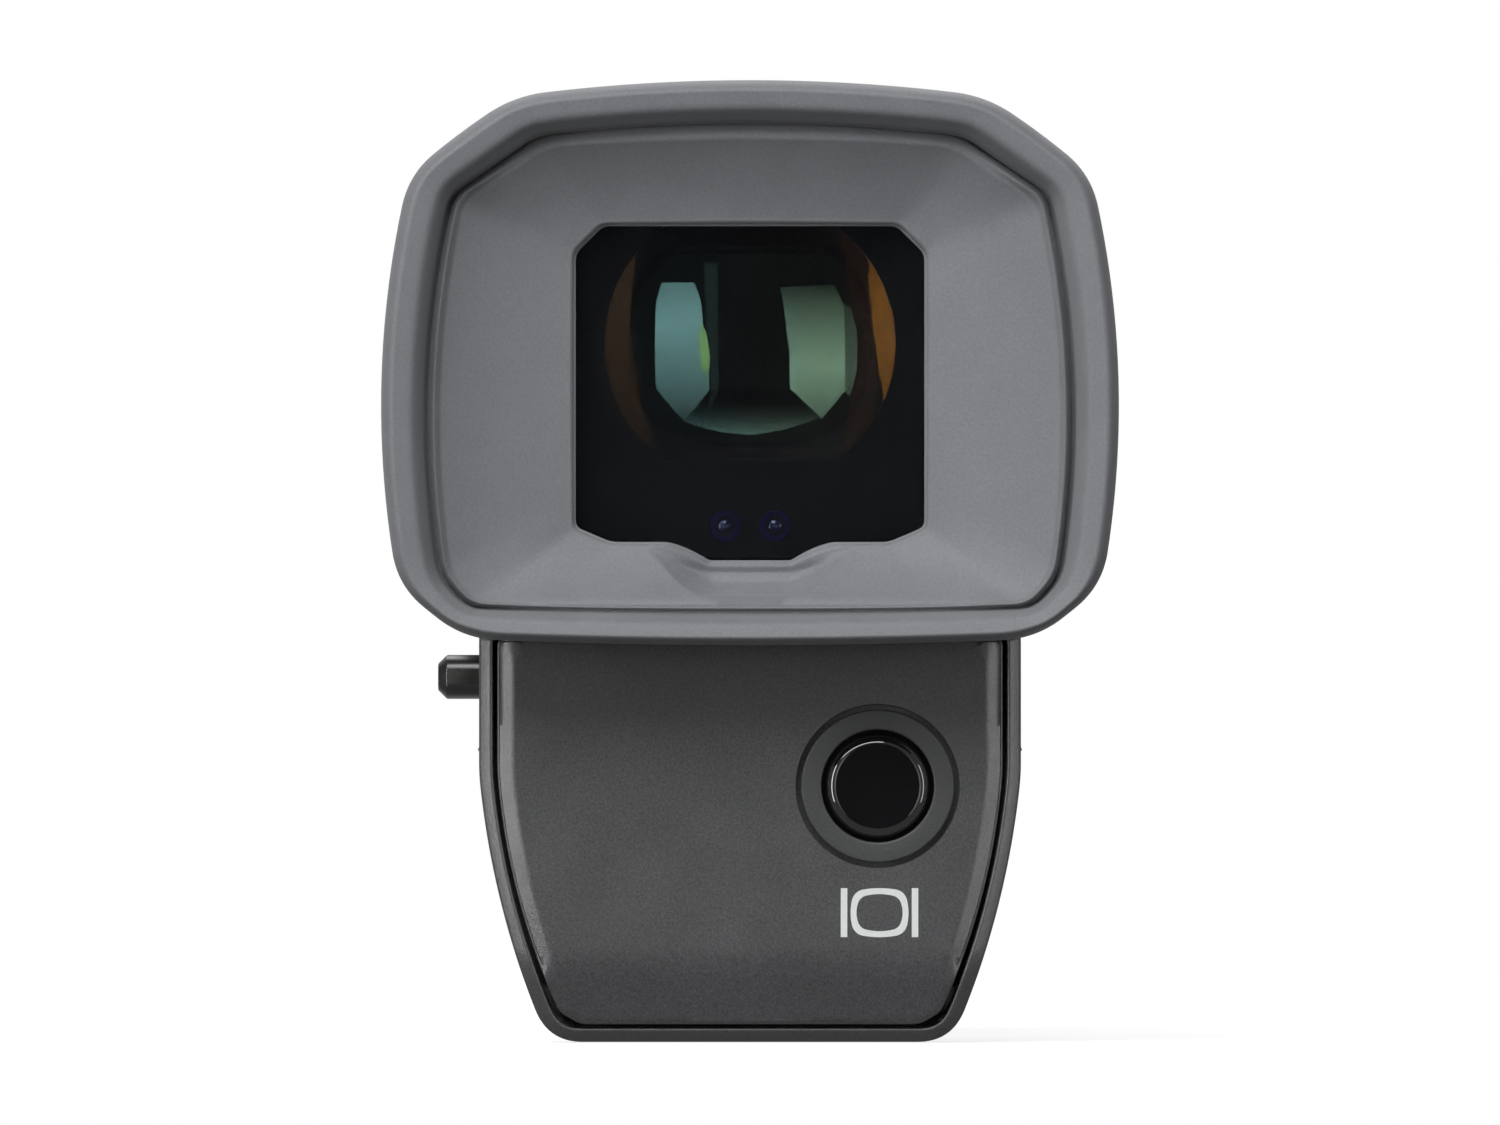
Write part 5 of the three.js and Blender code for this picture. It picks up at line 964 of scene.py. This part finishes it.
softened = (    # material, slot and the soft edge of each node in mm
    (bodyPlastic, "body_plastic", {"base_housing": 0.10, "deck_cover": 0.10, "head_top_shell": 0.10,
                                   "head_bottom_shell": 0.10, "front_cover": 0.15,
                                   "hinge_cap_left": 0.08, "hinge_cap_right": 0.08}),
    (footSteel, "foot_steel", {"shoe_foot": 0.12}),
    (leverMetal, "lever_metal", {"lock_lever": 0.05}),
    (bracketMetal, "lever_metal", {"hinge_bracket": 0.08}),
    (innerPlastic, "inner_plastic", {"connector_housing": 0.06, "eyepiece_frame": 0.08}),
    (footSteel, "foot_steel", {"connector_shell": 0.0, "lock_pin": 0.06}),
)
bodyOf = {n: body for body, members in frame["record"]["behaviour"]["bodies"].items() for n in members}
for material, slot, edges in softened:
    for node, width in edges.items():
        extra = {}
        if node == "base_housing":
            extra = {"cutter": rimCutter(), "staysSharp": lambda end: abs(end.y - rimPlane(end.z)) < 0.05}
        if node == "lock_lever":
            extra = {"cutter": tabCutter(tab), "operation": "INTERSECT"}
        wear(refined(node, width, **extra), material, bodyOf[node], node, slot=slot)

carried = (
    (windowGlass, ["window_panel"]),
    (innerGlass, ["inner_lens"]),
    (opticsBlack, ["lens_retainer", "lens_barrel"]),
    (innerPlastic, ["optics_chassis", "display_frame"]),
    (displayGlass, ["display_panel"]),
    (lightPlastic, ["backlight", "switch_plunger"]),
    (board, ["display_board", "sensor_board", "base_board"]),
    (screwSteel, ["button_switch"]),
    (footSteel, ["lock_spring", "hinge_pin_left", "hinge_pin_right", "diopter_pinion", "dial_washer"]),
    (film, ["hinge_flex"]),
    (brass, ["friction_washer_left", "friction_washer_right"]),
)
for material, members in carried:
    for node in members:
        nodes[node].data.materials.clear()
        nodes[node].data.materials.append(material)
print("carried-over pieces dressed")


# Screws, dial ribs and plug contacts, each from a node tree

def startTree(name, inputs):
    tree = bpy.data.node_groups.new(name, "GeometryNodeTree")
    tree.is_modifier = True
    tree.interface.new_socket("Geometry", in_out="INPUT", socket_type="NodeSocketGeometry")
    for label, (kind, value) in inputs.items():
        socket = tree.interface.new_socket(label, in_out="INPUT", socket_type="NodeSocket" + kind)
        if value is not None:
            socket.default_value = value
    tree.interface.new_socket("Geometry", in_out="OUTPUT", socket_type="NodeSocketGeometry")
    return tree, linkedNode(tree, "NodeGroupInput").outputs


def endTree(tree, geometry, material):
    real = linkedNode(tree, "GeometryNodeRealizeInstances", Geometry=geometry)
    dressed = linkedNode(tree, "GeometryNodeSetMaterial", Geometry=real.outputs[0], Material=material)
    linkedNode(tree, "NodeGroupOutput", Geometry=dressed.outputs[0])


def growTree(name, tree, values, spots=((0, 0, 0),), angle=30):
    # runs the tree on a mesh of points and keeps the result as a plain mesh
    mesh = bpy.data.meshes.new(name)
    mesh.from_pydata([Vector(s) * unit for s in spots], [], [])
    made = addObject(name, mesh)
    modifier = made.modifiers.new("nodes", "NODES")
    modifier.node_group = tree
    for item in tree.interface.items_tree:
        if item.in_out == "INPUT" and item.name in values:
            modifier[item.identifier] = values[item.name]
    graph = bpy.context.evaluated_depsgraph_get()
    grown = bpy.data.meshes.new_from_object(made.evaluated_get(graph), depsgraph=graph)
    made.modifiers.clear()
    made.data = grown
    shadeByAngle(grown, angle)
    return made


def lifted(tree, geometry, height):
    up = linkedNode(tree, "ShaderNodeCombineXYZ", Z=height)
    return linkedNode(tree, "GeometryNodeTransform", Geometry=geometry, Translation=up.outputs[0]).outputs[0]


def cylinder(tree, around, radius, depth):
    return linkedNode(tree, "GeometryNodeMeshCylinder", Vertices=around, Radius=radius,
                      Depth=depth).outputs["Mesh"]


def cone(tree, around, foot, top, depth):
    return linkedNode(tree, "GeometryNodeMeshCone", Vertices=around, Radius_Bottom=foot, Radius_Top=top,
                      Depth=depth).outputs["Mesh"]


def joined(tree, operation, parts, first=None):
    node = linkedNode(tree, "GeometryNodeMeshBoolean", {"operation": operation})
    if first is not None:
        tree.links.new(first, node.inputs["Mesh 1"])
    for part in parts:
        tree.links.new(part, node.inputs["Mesh 2"])
    return node.outputs[0]


def screwTree():
    tree, given = startTree("screws", {
        "Head radius": ("Float", 0.0013), "Head height": ("Float", 0.0007),
        "Shank radius": ("Float", 0.00068), "Length": ("Float", 0.0068),
        "Slot length": ("Float", 0.0017), "Slot width": ("Float", 0.00034),
        "Turn": ("Vector", (0, 0, 0)), "Material": ("Material", None)})
    radius, height = given["Head radius"], given["Head height"]
    body = lifted(tree, cylinder(tree, 48, radius, combined(tree, height, 0.6)), combined(tree, height, 0.7))
    crown = cone(tree, 48, combined(tree, radius, 0.8), radius, combined(tree, height, 0.4))
    shank = lifted(tree, cylinder(tree, 24, given["Shank radius"], given["Length"]),
                   combined(tree, given["Length"], 0.5))
    whole = joined(tree, "UNION", (body, crown, shank))
    cuts = []
    for long, wide in (("Slot length", "Slot width"), ("Slot width", "Slot length")):
        size = linkedNode(tree, "ShaderNodeCombineXYZ", X=given[long], Y=given[wide], Z=height)
        cuts.append(linkedNode(tree, "GeometryNodeMeshCube", Size=size.outputs[0]).outputs["Mesh"])
    slotted = joined(tree, "DIFFERENCE", cuts, whole)
    placed = linkedNode(tree, "GeometryNodeInstanceOnPoints", Points=given["Geometry"],
                        Instance=slotted, Rotation=given["Turn"])
    endTree(tree, placed.outputs[0], given["Material"])
    return tree


screws = {
    "shoe": {"spots": [(x, y, 0.1) for x in (-4.2, 4.2) for y in (-7.2, 7.2)], "length": 6.8,
             "turn": (0, 0, 0.4), "nodes": ["shoe_screw_%d" % i for i in (1, 2, 3, 4)]},
    "curtain": {"spots": [(x, -11.25, -2.8) for x in (-9.7, 9.7)], "length": 4.4,
                "turn": (math.pi / 2, 0, 0), "nodes": ["curtain_screw_left", "curtain_screw_right"]},
    "head": {"spots": [(x, y, 10.1) for x in (-12.3, 12.3) for y in (-11.0, 8.0)], "length": 8.8,
             "turn": (0, 0, 0.9), "nodes": ["head_screw_%d" % i for i in (1, 2, 3, 4)]},
}
tree = screwTree()
for name, facts in screws.items():
    made = growTree(name + "Screws", tree, {
        "Length": facts["length"] * unit, "Turn": facts["turn"], "Material": screwSteel}, facts["spots"])
    wear(made, screwSteel, bodyOf[facts["nodes"][0]], *facts["nodes"], slot="screw_steel")

dial = {"radius": 4.06, "thick": 1.5, "from": 14.95, "centre": (-9.0, 24.2), "ribs": 40,
        "ribRadius": 0.15, "chamfer": 0.3}


def dialTree():
    tree, given = startTree("ribbed dial", {
        "Radius": ("Float", 0.004), "Thickness": ("Float", 0.0015), "Chamfer": ("Float", 0.0003),
        "Ribs": ("Int", 40), "Rib radius": ("Float", 0.00015), "Place": ("Vector", (0, 0, 0)),
        "Material": ("Material", None)})
    straight = combined(tree, given["Thickness"], combined(tree, given["Chamfer"], 2.0), "SUBTRACT")
    radius, chamfer = given["Radius"], given["Chamfer"]
    body = cylinder(tree, 128, radius, straight)
    narrow = combined(tree, radius, chamfer, "SUBTRACT")
    half = combined(tree, straight, 0.5)
    below = combined(tree, combined(tree, half, chamfer, "ADD"), -1.0)
    top = lifted(tree, cone(tree, 128, radius, narrow, chamfer), half)
    foot = lifted(tree, cone(tree, 128, narrow, radius, chamfer), below)
    circle = linkedNode(tree, "GeometryNodeMeshCircle", Vertices=given["Ribs"], Radius=radius)
    ribs = linkedNode(tree, "GeometryNodeInstanceOnPoints", Points=circle.outputs["Mesh"],
                      Instance=cylinder(tree, 10, given["Rib radius"], straight))
    whole = linkedNode(tree, "GeometryNodeJoinGeometry")
    for part in (body, top, foot, ribs.outputs[0]):
        tree.links.new(part, whole.inputs[0])
    laid = linkedNode(tree, "GeometryNodeTransform", Geometry=whole.outputs[0], Translation=given["Place"],
                      Rotation=(0, math.pi / 2, 0))
    endTree(tree, laid.outputs[0], given["Material"])
    return tree


made = growTree("dioptreDial", dialTree(), {
    "Radius": dial["radius"] * unit, "Thickness": dial["thick"] * unit, "Chamfer": dial["chamfer"] * unit,
    "Ribs": dial["ribs"], "Rib radius": dial["ribRadius"] * unit,
    "Place": tuple(v * unit for v in (dial["from"] + dial["thick"] / 2, *dial["centre"])),
    "Material": dialPlastic})
wear(made, dialPlastic, "dial", "diopter_dial", slot="dial_plastic")

contacts = {"count": 9, "pitch": 0.9, "size": (0.42, 2.8, 0.2), "centre": (0, -9.25, -5.65)}


def contactTree():
    tree, given = startTree("plug contacts", {
        "Count": ("Int", 9), "Pitch": ("Float", 0.0009), "Size": ("Vector", (0.0004, 0.0028, 0.0002)),
        "Start": ("Vector", (0, 0, 0)), "Material": ("Material", None)})
    line = linkedNode(tree, "GeometryNodeMeshLine", Count=given["Count"], Start_Location=given["Start"],
                      Offset=linkedNode(tree, "ShaderNodeCombineXYZ", X=given["Pitch"]).outputs[0])
    strip = linkedNode(tree, "GeometryNodeMeshCube", Size=given["Size"])
    laid = linkedNode(tree, "GeometryNodeInstanceOnPoints", Points=line.outputs[0],
                      Instance=strip.outputs["Mesh"])
    endTree(tree, laid.outputs[0], given["Material"])
    return tree


start = Vector(contacts["centre"]) - Vector((contacts["pitch"] * (contacts["count"] - 1) / 2, 0, 0))
made = growTree("plugContacts", contactTree(), {
    "Count": contacts["count"], "Pitch": contacts["pitch"] * unit,
    "Size": tuple(v * unit for v in contacts["size"]),
    "Start": tuple(start * unit), "Material": brass})
softenEdges(made, 0.04)
wear(made, brass, "base", "connector_contacts", slot="contact_brass")
print("screws, dial and contacts made")


# Colour handling and the end

scene.view_settings.view_transform = "Standard"
